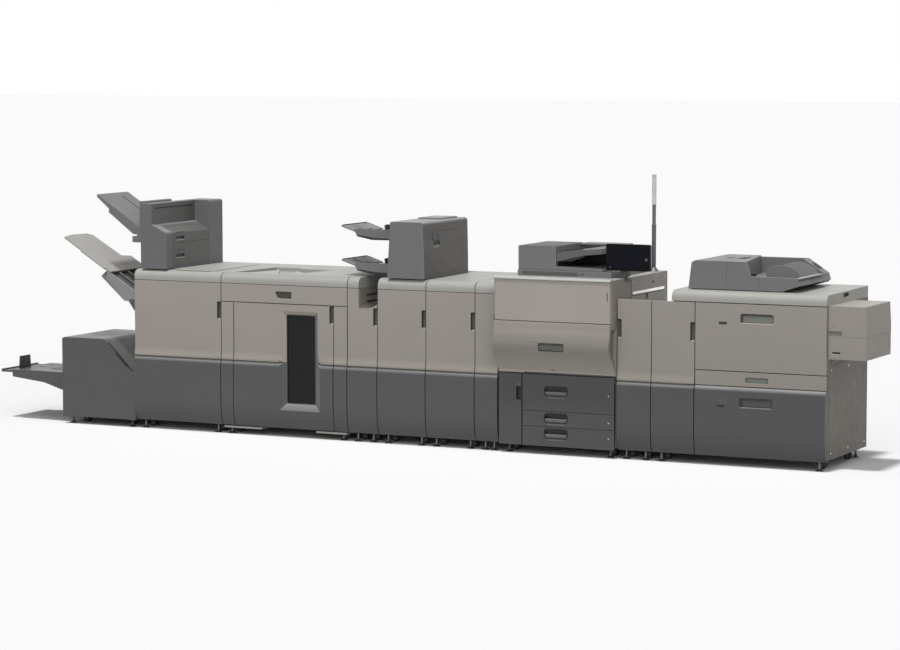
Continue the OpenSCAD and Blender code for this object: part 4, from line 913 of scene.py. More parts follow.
DEPTH, WALL, SEAM = 730, 16, 5
SPLIT_Z, DOOR_Z, DOOR_TOP, LID_TOP = 463, 55, 938, 1005
COVER_T, PROUD, CARCASS_Y, CARCASS_Z = 20, 12, 26.3, 62
BAY_BACK = 206.3
ENGINE_X, ENGINE_W, RELAY_X, FEEDER_X, DRAWER_X, LINE_END = 2536, 754, 3290, 3511, 3780, 4574

PANEL_BACK = Zone((-FAR, COVER_T + 0.1, -FAR), HIGHEST, BAY)
LOCK = ((0, 0.8), (2.6, 0.8), (3, 0), (0, 0))


def recess(low: Triple, high: Triple, inside: Finish, sill: Finish | None = None) -> list[Zone]:
    """Zones of a recess: its walls and floor, and the upward faces of its sill, given a lighter finish as
    painted highlight.
    """
    walls = [Zone(low, high, inside)]
    return [*walls, Zone(low, high, sill, UPWARD)] if sill else walls


def split_zones() -> list[Zone]:
    """Zones of the two covers on a front: dark below the split, with lighter bands along the dark cover's top
    edge as painted highlight.

    Returns:
        The zones.
    """
    return [Zone(LOWEST, (FAR, COVER_T - 0.1, SPLIT_Z + 0.2), DARK),
            Zone((-FAR, -FAR, SPLIT_Z - 14.5), (FAR, 4, SPLIT_Z + 0.2), EDGE_HIGHLIGHT),
            Zone((-FAR, -FAR, SPLIT_Z - 26), (FAR, 4, SPLIT_Z - 14.5), EDGE_SOFT_HIGHLIGHT), PANEL_BACK]


def close_split(form: Form, left: float, right: float) -> None:
    """Adds the upright lip on the lower edge of an upper cover."""
    form.block((left, -7.7, SPLIT_Z + 2.4), (right, 3, SPLIT_Z + 14.5), CREAM, 0.8)


@dataclass
class CabinetDoor:
    """A cabinet door: a pale and a dark cover in front of a steel panel with its fittings."""

    node: str
    x: float
    w: float
    hinge_right: bool = False
    top: float = DOOR_TOP
    extra: tuple[Zone, ...] = ()
    grip_z: float = 710.95
    grip_h: float = 113
    grip_w: float = 33
    bead_w: float = 30
    bead_d: float = 7
    bead_top: float = 60
    edge: float = 1.2
    window: Pair = (0, 0)

    @property
    def left(self) -> float:
        """Left edge of the covers."""
        return self.x + SEAM / 2

    @property
    def width(self) -> float:
        """Width of the covers."""
        return self.w - SEAM

    @property
    def grip_x(self) -> float:
        """Left edge of the grip's cut.

        Returns:
            The place.
        """
        if self.hinge_right:
            return self.left - self.grip_w * 0.2
        return self.left + self.width - self.grip_w * 0.8

    def build(self) -> None:
        """Builds the door, from its covers to the fittings on its back."""
        form = Form(f"{self.node}_dressed")
        low = (self.grip_x - 1, 0.4, self.grip_z - 1)
        high = (self.grip_x + self.grip_w + 1, 14.6, self.grip_z + self.grip_h + 1)
        # The split's lighter bands and the grip's sill faces are a painted highlight.
        zones = [*split_zones(), *recess(low, high, CUP_GREY, SILL_HIGHLIGHT), *self.extra]
        form.take(self.node, CREAM, zones, self.edge)
        ends = (self.left + 0.6, *(self.window if self.window[1] else ()), self.left + self.width - 0.6)
        for start, end in zip(ends[::2], ends[1::2]):
            close_split(form, start, end)
        self.line_grip(form)
        self.stiffen(form)
        self.fit_latch(form)
        form.complete(self.node, Slot.CREAM)

    def line_grip(self, form: Form) -> None:
        """Lays a ribbed liner on the grip's floor, with a lip along its lower end in a lighter finish as
        painted highlight, and soft black strips along its closed side and top as painted shadow.

        Args:
            form: the piece that it adds to.
        """
        inner = self.grip_x + 5 if not self.hinge_right else self.left + 0.8
        outer = self.left + self.width - 0.8 if not self.hinge_right else self.grip_x + self.grip_w - 5
        form.block((inner, 12.4, self.grip_z + 8), (outer, 14, self.grip_z + self.grip_h - 8), CUP_GREY, 0.5)
        for i in range(5):
            z = self.grip_z + 20 + i * 18
            form.block((inner + 2, 11.6, z), (outer - 2, 12.6, z + 3), SHADOW_GREY, 0.4, 1)
        # Painted highlight: the lip's lighter finish.
        form.block((inner, -0.8, self.grip_z - 1.5), (outer, 13, self.grip_z + 7), SILL_HIGHLIGHT, 2, 3)
        # Painted shadow: soft black strips along the grip's closed side and its top.
        edge = self.grip_x if not self.hinge_right else self.grip_x + self.grip_w - 4
        form.block((edge, 0.4, self.grip_z + 8), (edge + 4, 12, self.grip_z + self.grip_h - 4), SOFT_BLACK,
                   0.8)
        form.block((inner, 0.4, self.grip_z + self.grip_h - 6), (outer, 12, self.grip_z + self.grip_h - 0.5),
                   SOFT_BLACK, 0.8)

    def stiffen(self, form: Form) -> None:
        """Presses two upright beads into the back of the steel panel.

        Args:
            form: the piece that it adds to.
        """
        span = self.width - 2 * 3 * SEAM
        bead = [(0, 0), (self.bead_w, 0), (self.bead_w - self.bead_d, self.bead_d),
                (self.bead_d, self.bead_d)]
        for share in (0.22, 0.78):
            x = self.left + 3 * SEAM + span * share - self.bead_w / 2
            x = min(max(x, self.left + WALL + 6), self.left + self.width - WALL - 6 - self.bead_w)
            outline = [(x + u, COVER_T + 5.9 + v) for u, v in bead]
            form.prism(outline, Axis.Z, 110, self.top - self.bead_top, BAY, 1.5)

    def fit_latch(self, form: Form) -> None:
        """Screws a latch plate and two hinge leaves to the back of the panel.

        Args:
            form: the piece that it adds to.
        """
        free = self.left + WALL + 8 if self.hinge_right else self.left + self.width - WALL - 32
        back = COVER_T + 5.8
        form.block((free, back, 560), (free + 24, back + 3, 640), STEEL, 0.8)
        form.block((free + 6, back + 2, 588), (free + 18, back + 16, 612), SOFT_BLACK, 2, 3)
        form.screws([(free + 12, back + 2.8, z) for z in (570, 630)], REARWARD, 4)
        hung = self.left + self.width - WALL - 36 if self.hinge_right else self.left + WALL + 6
        for z in (150, self.top - 130):
            form.block((hung, back, z), (hung + 30, back + 3.5, z + 60), STEEL, 1)
            form.screws([(hung + 15, back + 3.2, z + lift) for lift in (14, 46)], REARWARD, 4)


@dataclass
class BayFittings:
    """Paper guides, rollers and release levers on the rear wall of a service bay."""

    x: float
    w: float
    top: float = 925
    low: float = 78
    plate_gap: float = 26

    def build(self, form: Form) -> None:
        """Adds the fittings of one bay to the piece.

        Args:
            form: the piece that it adds to.
        """
        left, right = self.x + WALL + self.plate_gap, self.x + self.w - WALL - self.plate_gap
        middle = (self.low + self.top) / 2
        form.block((left, BAY_BACK - 3, self.low + 70), (right, BAY_BACK - 0.2, self.top - 60), BAY_DARK, 1)
        for i, z in enumerate((middle - 190, middle - 40, middle + 150)):
            self.guide(form, left + 8, right - 8, z)
            self.lever(form, left + 20 if i % 2 else right - 44, z + 46)

    @staticmethod
    def guide(form: Form, left: float, right: float, z: float) -> None:
        """Adds a bent guide plate with a roller above it.

        Args:
            form: the piece that it adds to.
            left: its left end.
            right: its right end.
            z: its height above the floor.
        """
        outline = [(BAY_BACK - 3, z), (BAY_BACK - 22, z + 4), (BAY_BACK - 24, z + 2), (BAY_BACK - 24, z - 3),
                   (BAY_BACK - 3, z - 3)]
        form.prism(outline, Axis.X, left, right, STEEL, 0.7)
        form.rod((left, BAY_BACK - 13, z + 16), 4, right - left, STEEL, RIGHTWARD, 12)
        count = max(2, int((right - left) / 90))
        for i in range(count):
            x = left + (right - left) * (i + 0.5) / count - 14
            form.rod((x, BAY_BACK - 13, z + 16), 9, 28, ROLLER, RIGHTWARD, 16)

    @staticmethod
    def lever(form: Form, x: float, z: float) -> None:
        """Adds a release lever with its pivot."""
        form.block((x, BAY_BACK - 26, z), (x + 24, BAY_BACK - 3, z + 9), LEVER, 3, 3)
        form.rod((x + 12, BAY_BACK - 3, z + 4.5), 9, 6, SOFT_BLACK, FRONTWARD, 16)


@dataclass
class CabinetRow:
    """The slim cabinets' carcasses, and the fittings in every service bay of the line."""

    decurler_x: float = 1518
    interposer_x: float = 1724
    buffer_x: float = 2051
    bridge_x: float = 2378
    notch_x: float = 1595.25
    notch_z: float = 815

    def build(self) -> None:
        """Builds the carcasses, the doors, the bays and the rear panels."""
        self.build_carcasses()
        self.build_bays()
        self.build_notch()
        self.build_rear()
        for door in self.doors():
            door.build()

    def doors(self) -> list[CabinetDoor]:
        """The doors of the line, from the finisher's to the feeder's.

        Returns:
            The doors.
        """
        notch = (Zone((self.notch_x - 1, 0.3, self.notch_z - 2), (self.interposer_x, 19.8, self.notch_z + 60),
                      CREAM),)
        return [CabinetDoor("finisher_door", 0, 631),
                CabinetDoor("decurler_door", self.decurler_x, 206, extra=notch, bead_top=180),
                CabinetDoor("interposer_base_door", self.interposer_x, 327),
                CabinetDoor("buffer_door", self.buffer_x, 327),
                CabinetDoor("bridge_door", self.bridge_x, 153),
                CabinetDoor("relay_door", RELAY_X + SEAM, 216, hinge_right=True),
                CabinetDoor("feeder_left_door", FEEDER_X, 269)]

    def build_carcasses(self) -> None:
        """Coats the carcasses, with their bays in plain steel and the notch's walls in a darkened cream as
        painted shade.
        """
        bays = Zone((-FAR, CARCASS_Y + 0.2, CARCASS_Z + 1), (FAR, BAY_BACK + 1, 924), BAY)
        notch = Zone((self.notch_x - 17, -FAR, self.notch_z - 34), (self.interposer_x + 1, FAR, 942),
                     CREAM_SHADED)
        dress_node("slim_carcasses", "relay_cabinets", LINE, Slot.CARCASS, SIDE, [bays, notch])

    def build_bays(self) -> None:
        """Fits out the service bays."""
        form = Form("bay_fittings")
        places = ((0, 631, 925), (self.decurler_x, 206, 780), (self.interposer_x, 327, 925),
                  (self.buffer_x, 327, 925), (self.bridge_x, 158, 925), (RELAY_X, 221, 849),
                  (FEEDER_X, 269, 849))
        for x, w, top in places:
            BayFittings(x, w, top).build(form)
        form.complete(LINE, Slot.TABLE)

    def build_notch(self) -> None:
        """Lines the notch between the decurler and the interposer with its guide slots."""
        form = Form("notch_guides")
        wall = self.notch_x
        for y in (110, 330):
            form.block((wall - 0.4, y, 846), (wall + 1.2, y + 150, 858), BLACK, 0.4)
            form.block((wall - 0.4, y, 886), (wall + 1.2, y + 150, 898), BLACK, 0.4)
        # The scoop takes the darkened cream: painted shade.
        scoop = [(wall + 0.4, self.notch_z - 15.8), (wall + 34, self.notch_z - 15.8), (wall + 20, 808),
                 (wall + 7, 822), (wall + 0.4, 840)]
        form.prism(scoop, Axis.Y, CARCASS_Y + 6, 640, CREAM_SHADED, 1.5)
        form.complete(LINE, Slot.CARCASS)

    def build_rear(self) -> None:
        """Closes the rear of each cabinet with a screwed panel and louvres."""
        form = Form("rear_panels")
        edges = ((6, 625), (637, 1512), (1524, 1718), (1730, 2045), (2057, 2372), (2384, 2530), (3296, 3505),
                 (3517, 3774), (3786, 4568))
        for left, right in edges:
            top = 845 if RELAY_X < right < DRAWER_X else 780 if left == 1524 else 915
            self.rear_panel(form, left + 8, right - 8, CARCASS_Z + 18, top)
        form.complete(LINE, Slot.CARCASS)

    @staticmethod
    def rear_panel(form: Form, left: float, right: float, low: float, top: float) -> None:
        """Adds one rear panel with its screws, louvres and lifting recess.

        Args:
            form: the piece that it adds to.
            left: its left end.
            right: its right end.
            low: its lower edge.
            top: its upper edge.
        """
        form.block((left, DEPTH - 0.4, low), (right, DEPTH + 2, top), SIDE, 1.2)
        seats = [(x, DEPTH + 2, z) for x in (left + 12, right - 12)
                 for z in (low + 14, (low + top) / 2, top - 14)]
        form.screws(seats, REARWARD)
        if right - left > 160:
            inset = (right - left) * 0.22
            form.louvres((left + inset, low + 60), (right - inset, low + 200), DEPTH + 2, 7, SIDE)
            form.block((left + inset, DEPTH + 1.6, top - 120), (right - inset, DEPTH + 2.6, top - 86),
                       SHADOW_GREY, 0.4)


@dataclass
class Lids:
    """The pale lids of the line, with the low plates that stand on them."""

    plate_x: Pair = (262, 560)
    plate_y: Pair = (30, 610)

    def build(self) -> None:
        """Builds the lids left of the engine, the feeder's lid, and the raised plate on the finisher."""
        dish = Zone((640, 10, LID_TOP - 23), (1215, 520, LID_TOP - 0.2), PALE_DISH)
        dress_node("left_lids", "top_lids", LINE, Slot.LID, PALE, [dish], 1.6)
        slot = recess((4557, 280, 970), (4573.5, 385, 1004), CUP_GREY)
        dress_node("feeder_lid_dressed", "feeder_lid", LINE, Slot.LID, PALE, slot, 1.6)
        plate = Form("finisher_lid_plate")
        low, high = self.plate_x
        front, rear = self.plate_y
        outline = [(low, front + 30), (low + 40, front), (high - 30, front), (high, front + 40), (high, rear),
                   (low, rear)]
        plate.prism(outline, Axis.Z, LID_TOP - 1, LID_TOP + 7, PALE, 3, 3)
        plate.block((low - 22, front + 60, LID_TOP - 1), (low + 4, rear - 40, LID_TOP + 4.5), PALE, 2)
        plate.complete(LINE, Slot.LID)


@dataclass
class Trimmer:
    """The booklet trimmer and its delivery tray."""

    left: float = -545.3
    right: float = -0.3
    rear: float = 591
    tray_top: float = 320.75
    slot: Triple = (-118, 0.4, 371)

    def build(self) -> None:
        """Builds the housing, its door, and the tray with its extension and fence."""
        self.build_housing()
        self.build_door()
        self.build_tray()

    def build_housing(self) -> None:
        """Coats the housing and fits its bay and its rear."""
        form = Form("trimmer_shell")
        zones = [Zone((self.left + 1, COVER_T, 60), (self.right - 1, 199, 540), BAY),
                 Zone((self.left + 0.2, 91, 325), (-340, 489, 361), BAY_DARK),
                 # The top faces take a lighter copy of the dark cover: painted light.
                 Zone((-FAR, COVER_T, 551), HIGHEST, DARK_LIT_TOP, UPWARD)]
        form.take("trimmer_housing", DARK, zones)
        form.louvres((self.left + 80, 110), (self.right - 80, 210), self.rear, 5, DARK)
        seats = [(x, self.rear, z) for x in (self.left + 20, self.right - 20) for z in (70, 330)]
        form.screws(seats, REARWARD)
        for i in range(4):
            x = self.left + 70 + i * 110
            form.rod((x, 198.5, 150 + 22 * (i % 2)), 16, 6, SOFT_BLACK, FRONTWARD, 20)
            form.block((x - 6, 182, 180), (x + 6, 196, 206), LEVER, 2.5, 3)
        form.complete(LINE, Slot.DARK)

    def build_door(self) -> None:
        """Dresses the front door, with the finger slot on its slope."""
        form = Form("trimmer_door_dressed")
        x, y, z = self.slot
        form.take("trimmer_front_door", DARK, recess((x - 16, y, z), (x + 92, 14.3, z + 112), BLACK), 1)
        rim = [(x - 21.3, z + 99.7), (x + 60.7, z + 14.7), (x + 53.5, z + 7.7), (x - 28.5, z + 92.7)]
        form.prism(rim, Axis.Y, -0.6, 10, BLACK, 0.4)
        form.block((self.left + 40, COVER_T - 0.2, 90), (self.left + 52, COVER_T + 8, 500), DARK, 1.5)
        form.block((self.right - 60, COVER_T - 0.2, 90), (self.right - 48, COVER_T + 8, 330), DARK, 1.5)
        form.complete("trimmer_front_door", Slot.DARK)

    def build_tray(self) -> None:
        """Builds the delivery tray, its extension and its folding fence."""
        form = Form("delivery_tray_dressed")
        belts = [Zone((-760, y, self.tray_top - 10), (-560, y + 47, self.tray_top - 0.2), BLACK)
                 for y in (154, 312)]
        form.take("trimmer_delivery_tray", DARK, belts, 1.5)
        for y in (155.4, 313.8):
            form.prism(rounded(-748, self.tray_top - 7.6, 170, 5.6, 2.6), Axis.Y, y + 6, y + 38, ROLLER, 0.5)
        for y in (248, 365):
            form.block((-886, y, self.tray_top - 0.6), (-720, y + 9, self.tray_top + 0.8), BLACK, 0.3)
        for y in (60, 250, 450):
            form.prism([(-940, 272), (-700, 250), (-560, 206), (-560, 214), (-700, 258), (-940, 280)], Axis.Y,
                       y, y + 8, DARK, 0.8)
        form.complete(LINE, Slot.DARK)
        slide, fence = "trimmer_tray_extension", "trimmer_stop_fence"
        dress_node("tray_extension_dressed", slide, slide, Slot.DARK, DARK_ENGINE, (), 1.5)
        dress_node("stop_fence_dressed", fence, fence, Slot.TRAY, SOFT_BLACK, (), 2)


@dataclass
class Finisher:
    """The finisher's carcass, its shift tray, and the cover feeder on its lid."""

    shift_y: float = 30
    shift_w: float = 420
    angle: float = 31.6
    root_z: float = 850
    feeder_x: float = 43
    feeder_w: float = 190
    feeder_z: float = 1009.3
    shelf_z: float = 1286.7
    lip_z: float = 1239.8
    head_w: float = 38

    def build(self) -> None:
        """Builds the finisher's pieces."""
        bay = Zone((1, CARCASS_Y + 0.2, 70), (630, BAY_BACK + 1, 926), BAY)
        dress_node("finisher_carcass", "finisher_cabinet", LINE, Slot.CARCASS, SIDE, [bay])
        self.build_shift_tray()
        self.build_cover_feeder()
        self.build_cover_tray()

    def along(self, reach: float, lift: float) -> Pair:
        """The (x, z) point that far out on the shift tray's incline, lifted off it.

        Args:
            reach: how far out on the incline.
            lift: how far off it.

        Returns:
            The point.
        """
        run = math.radians(self.angle)
        ahead, up = math.cos(run), math.sin(run)
        return -reach * ahead + lift * up, self.root_z + reach * up + lift * ahead

    def build_shift_tray(self) -> None:
        """Builds the ribbed base and the pale plate that slides on it."""
        zones = [Zone((-FAR, self.shift_y - 1, -FAR), (FAR, self.shift_y + 1, FAR), BOX)]
        base = Form("shift_base_dressed").take("shift_tray", BOX_DARK, zones, 1.2)
        for i in range(5):
            y = self.shift_y + 7 + i * (self.shift_w - 14) / 4
            outline = [self.along(a, b) for a, b in ((20, -1), (20, 1.2), (255, 1.2), (255, -1))]
            base.prism(outline, Axis.Y, y - 5, y + 5, PLATE, 0.6)
        base.prism([(-0.4, 722), (-0.4, 806), (-52, 814), (-60, 796), (-18, 738)], Axis.Y, 27, 70, BOX_DARK,
                   3, 2)
        base.complete("shift_tray", Slot.BOX)
        plate = Form("shift_plate_dressed").take("shift_tray_extension", PLATE, (), 2.2)
        ridge = [self.along(a, b) for a, b in ((250, 11.4), (258, 14.2), (590, 14.2), (600, 11.4))]
        plate.prism(ridge, Axis.Y, 166, 178, PLATE, 1.2)
        side = [self.along(a, b) for a, b in ((260, 11.4), (264, 13.4), (440, 13.4), (444, 11.4))]
        plate.prism(side, Axis.Y, 34, 46, PLATE, 1)
        x, z = self.along(470, 12.2)
        run = math.radians(self.angle)
        plate.lathe([(0, 0.2), (6, 0.2), (6, 0), (0, 0)], (x, 110, z), SHADOW_GREY,
                    (math.sin(run), 0, math.cos(run)), 16)
        plate.complete("shift_tray_extension", Slot.PLATE)

    def build_cover_feeder(self) -> None:
        """Builds the housing with its two covers and their finger pockets."""
        inner_x = self.feeder_x + self.feeder_w * 0.44
        right = self.feeder_x + self.feeder_w
        top = self.feeder_z + 408
        form = Form("cover_feeder_shell")
        # The inner wall facing right takes a darker copy of the box grey as painted shade, and the shelf's
        # upward faces a lighter one as painted light.
        zones = [Zone((inner_x - 1, 20, self.shelf_z - 5), (inner_x + 1, 540, top), BOX_SHADED_SIDE, RIGHTWARD),
                 Zone((inner_x, 20, self.lip_z), (right + 1, 640, self.shelf_z + 2), BOX_LIT_SHELF, (0.2, 0, 0.98)),
                 Zone((right - 20, 80, self.feeder_z + 8), (right - 1, 540, self.lip_z), BAY_DARK)]
        form.take("cover_feeder_housing", BOX_LEFT, zones, 3)
        form.block((inner_x - 0.4, 60, top - 34), (inner_x + 2, 500, top - 26), BLACK, 0.5)
        form.louvres((self.feeder_x + 40, self.feeder_z + 60), (right - 40, self.feeder_z + 150), 702, 5, BOX)
        form.complete(LINE, Slot.BOX)
        for node, low in (("cover_feeder_upper_cover", self.lip_z - 52), ("cover_feeder_lower_cover", 1076)):
            cover = Form(f"{node}_dressed")
            # The covers face right and take the darker box grey, painted shade; their pockets' sills and
            # lower lips are a painted highlight.
            pocket = recess((right - 7.4, 129, low - 2), (right - 0.2, 228, low + 22), BLACK, SILL_HIGHLIGHT)
            cover.take(node, BOX_SHADED_SIDE, pocket, 2)
            cover.block((right - 0.5, 131, low + 44), (right + 0.5, 228, low + 48), BLACK, 0.3)
            cover.block((right - 0.5, 131, low - 4.5), (right + 1.4, 228, low - 0.5), SILL_HIGHLIGHT, 0.8)
            cover.complete(node, Slot.BOX)

    def build_cover_tray(self) -> None:
        """Builds the inclined tray of the cover feeder with its head and fences."""
        form = Form("cover_tray_dressed")
        form.take("cover_feeder_tray", BOX, (), 2)
        for i in range(3):
            form.block((self.feeder_x - self.head_w - 0.6, 96 + i * 92, 1356),
                       (self.feeder_x - self.head_w + 1, 124 + i * 92, 1384), BLACK, 0.4)
        form.block((-31, 60, 1168), (30, 150, 1208), BOX_DARK, 4, 3)
        form.complete(LINE, Slot.BOX)


@dataclass
class Stacker:
    """The high capacity stacker: its cabinet, flap, windowed door and lifting table."""

    x: float = 631
    w: float = 887
    door_x: float = 721
    door_w: float = 702
    flap_z: float = 828
    window: tuple[float, float, float, float] = (1087.4, 210, 201, 550)
    dish_w: float = 46
    table_z: float = 130

    def build(self) -> None:
        """Builds the stacker's pieces."""
        self.build_cabinet()
        self.build_flap()
        self.build_door()
        self.build_table()

    def build_cabinet(self) -> None:
        """Coats the cabinet and its strips, and hangs the rails and the chain inside."""
        form = Form("stacker_shell")
        rails = Zone((1090, 685, 70), (1270, 715, 815), STEEL)
        # The split's lighter bands are a painted highlight, and the bay's inside walls take the darkened bay
        # steel as painted shade.
        zones = [*split_zones()[:3], Zone((-FAR, -FAR, SPLIT_Z + 0.3), (FAR, 19.9, FAR), CREAM),
                 Zone((self.x + 20, CARCASS_Y + 0.2, CARCASS_Z + 2), (self.x + self.w - 20, DEPTH - 1, 925),
                      BAY_SHADED), rails]
        form.take("stacker_cabinet", SIDE, zones)
        for left, right in ((self.x + 3, self.door_x - 1),
                            (self.door_x + self.door_w + 3, self.x + self.w - 3)):
            close_split(form, left, right)
        for x in (1150, 1196):
            form.rod((x, 676, 80), 7, 724, STEEL, UPWARD, 12)
        form.block((1163, 690, 80), (1183, 713, 810), BAY_DARK, 1)
        for left, right in ((640, 905), (1290, 1500)):
            form.block((left, 14, 38), (right, 120, 50), PALE, 2)
            form.block((left + 20, 40, 49.5), (right - 20, 100, 62.4), SOFT_BLACK, 1)
        form.complete(LINE, Slot.CARCASS)

    def build_flap(self) -> None:
        """Builds the drop flap with its pocket."""
        form = Form("stacker_flap_dressed")
        low, high = (1015, 0.4, 855), (1131, 14.6, 901)
        # The pocket's sill faces and the lower lip take the lighter lip finish: painted highlight.
        form.take("stacker_top_flap", CREAM, [PANEL_BACK, *recess(low, high, CUP_GREY, SILL_HIGHLIGHT)], 1.4)
        form.block((1046, 12.2, 860), (1126, 13.8, 893), SHADOW_GREY, 0.5)
        form.block((1040, 0.6, 852.6), (1129, 3.6, 857.6), SILL_HIGHLIGHT, 1.4, 3)
        form.complete("stacker_top_flap", Slot.CREAM)

    def build_door(self) -> None:
        """Builds the door with the dished surround of its window."""
        x, z, w, h = self.window
        reach = self.dish_w + 1
        dish_low, dish_high = (x - reach, 0.3, z - reach), (x + w + reach, COVER_T - 0.2, z + h + reach)
        # Painted highlight on the dish's lower and right faces.
        sill = Zone((x - reach, -12, z - reach), (x + w + reach, COVER_T, z), EDGE_HIGHLIGHT, (0, -0.3, 1))
        side = Zone((x + w, -12, z - reach), (x + w + reach, COVER_T, z + h), EDGE_SOFT_HIGHLIGHT, (-1, -0.3, 0))
        CabinetDoor("stacker_door", self.door_x, self.door_w, top=self.flap_z - SEAM, extra=(sill, side),
                    window=(x - reach, x + w + reach)).build()
        dress_node("stacker_window_dressed", "stacker_window", "stacker_door", Slot.WINDOW, SMOKED, (), 1)
        seal = Form("window_seal")
        outer = rounded(x + 0.4, z + 0.4, w - 0.8, h - 0.8, 11.6)
        inner = rounded(x + 5.4, z + 5.4, w - 10.8, h - 10.8, 8)
        seal.frame_ring(outer, inner, Axis.Y, 15, 21, TREAD, 0.8)
        seal.complete("stacker_door", Slot.WINDOW)

    def build_table(self) -> None:
        """Builds the lifting table with its carriage."""
        form = Form("stack_table_dressed")
        form.take("stack_table", TABLE, (), 1.5)
        for x in (1112, 1216):
            form.rod((x, 640, self.table_z + 40), 16, 12, ROLLER, REARWARD, 20)
        form.complete("stack_table", Slot.TABLE)


@dataclass
class Interposer:
    """The sheet interposer: its tower, side door, two trays and their extensions."""

    left: float = 1788
    right: float = 2040
    high: float = 1349.3
    rear: float = 619
    tray_left: float = 1527
    tray_y: Pair = (80, 480)
    pitch: float = 208
    tray_z: float = 1230.98

    def build(self) -> None:
        """Builds the tower, its door and both trays."""
        self.build_tower()
        self.build_side_door()
        for name, z in (("upper", self.tray_z), ("lower", self.tray_z - self.pitch)):
            self.build_tray(name, z)
            self.build_extension(name, z)

    def build_tower(self) -> None:
        """Builds the tower with its rounded right corner."""
        form = Form("interposer_tower_dressed")
        # The right side takes a deeper shaded copy of the box grey as painted shade, and the top a lighter
        # one as painted light.
        zones = [Zone((2000, 10, 1010), (2045, 615, 1335), BOX_SHADED_DEEP, RIGHTWARD),
                 Zone((-FAR, -FAR, self.high - 12), HIGHEST, BOX_LIT_TOP, UPWARD)]
        form.take("interposer_tower", BOX, zones, 2.2)
        form.louvres((self.left + 40, 1060), (self.right - 40, 1140), self.rear, 5, BOX)
        form.screws([(x, self.rear, z) for x in (self.left + 34, self.right - 34) for z in (1030, 1300)],
                    REARWARD)
        form.complete(LINE, Slot.BOX)

    def build_side_door(self) -> None:
        """Builds the side door with its latch outline and pocket."""
        form = Form("interposer_door_dressed")
        # The door, on the right side, takes the deeper shaded box grey as painted shade; its pocket's sill is
        # a painted highlight.
        form.take("interposer_side_door", BOX_SHADED_DEEP, recess((2029, 137, 1186), (2038, 225, 1236), BLACK, SILL_HIGHLIGHT),
                  1.6)
        outer, inner = rounded(131, 1238, 82, 38, 6), rounded(134, 1241, 76, 32, 4)
        form.frame_ring(outer, inner, Axis.X, 2032.6, 2035.2, BOX_DARK, 0.4)
        form.block((2030.2, 141, 1188.5), (2034.5, 221, 1206), CUP_PALE, 1.2)
        form.complete("interposer_side_door", Slot.BOX)

    def build_tray(self, name: str, z: float) -> None:
        """Builds one tray: pale skin over a black keel, with black stops and guides.

        Args:
            name: upper or lower.
            z: height of the tray's root.
        """
        front, rear = self.tray_y
        form = Form(f"insert_{name}_tray_dressed")
        zones = [Zone(LOWEST, (FAR, FAR, z + 12), BLACK),
                 Zone((self.tray_left + 8, front + 13, z + 38), (1796, rear - 13, z + 41.5), TRAY_FLOOR,
                      UPWARD),
                 Zone((self.tray_left + 20, front + 13, z + 41), (1796, rear - 13, z + 90), SOFT_BLACK)]
        form.take(f"interposer_{name}_tray", BOX, zones, 1.2)
        keel = [(1795, z - 0.5), (1795, z + 9), (1652, z + 13), (1562, z + 26), (1544, z + 21), (1646, z - 1)]
        form.prism(keel, Axis.Y, front - 1.4, front + 0.6, BLACK, 0.6)
        for x, y, w, h in ((1560, rear - 52, 54, 32), (1690, rear - 60, 40, 24), (1718, 250, 60, 12),
                           (1610, 360, 90, 9), (1735, 130, 46, 16)):
            form.block((x, y, z + 39.5), (x + w, y + 14, z + 39.5 + h), BLACK, 2, 2)
        for y in (200, 300):
            form.block((1640, y, z + 39.4), (1786, y + 20, z + 42.4), TRAY_FLOOR, 1)
            form.rod((1776, y + 2, z + 47), 7, 16, ROLLER, REARWARD, 16)
        form.complete(LINE, Slot.TRAY)

    def build_extension(self, name: str, z: float) -> None:
        """Builds one extension plate with its raised centre and its tip.

        Args:
            name: upper or lower.
            z: height of its tray's root.
        """
        node = f"interposer_{name}_extension"
        form = Form(f"insert_{name}_extension_dressed").take(node, BOX, (), 1)
        lift = z + 39.7
        centre = [(1519, lift + 8), (1436, lift + 37), (1436, lift + 41.5), (1519, lift + 13)]
        form.prism(centre, Axis.Y, 230, 330, BOX, 1)
        form.prism([(1420.5, lift + 33), (1427, lift + 33), (1427, lift + 46), (1420.5, lift + 44)], Axis.Y,
                   120, 440, SOFT_BLACK, 1.5)
        form.complete(node, Slot.TRAY)


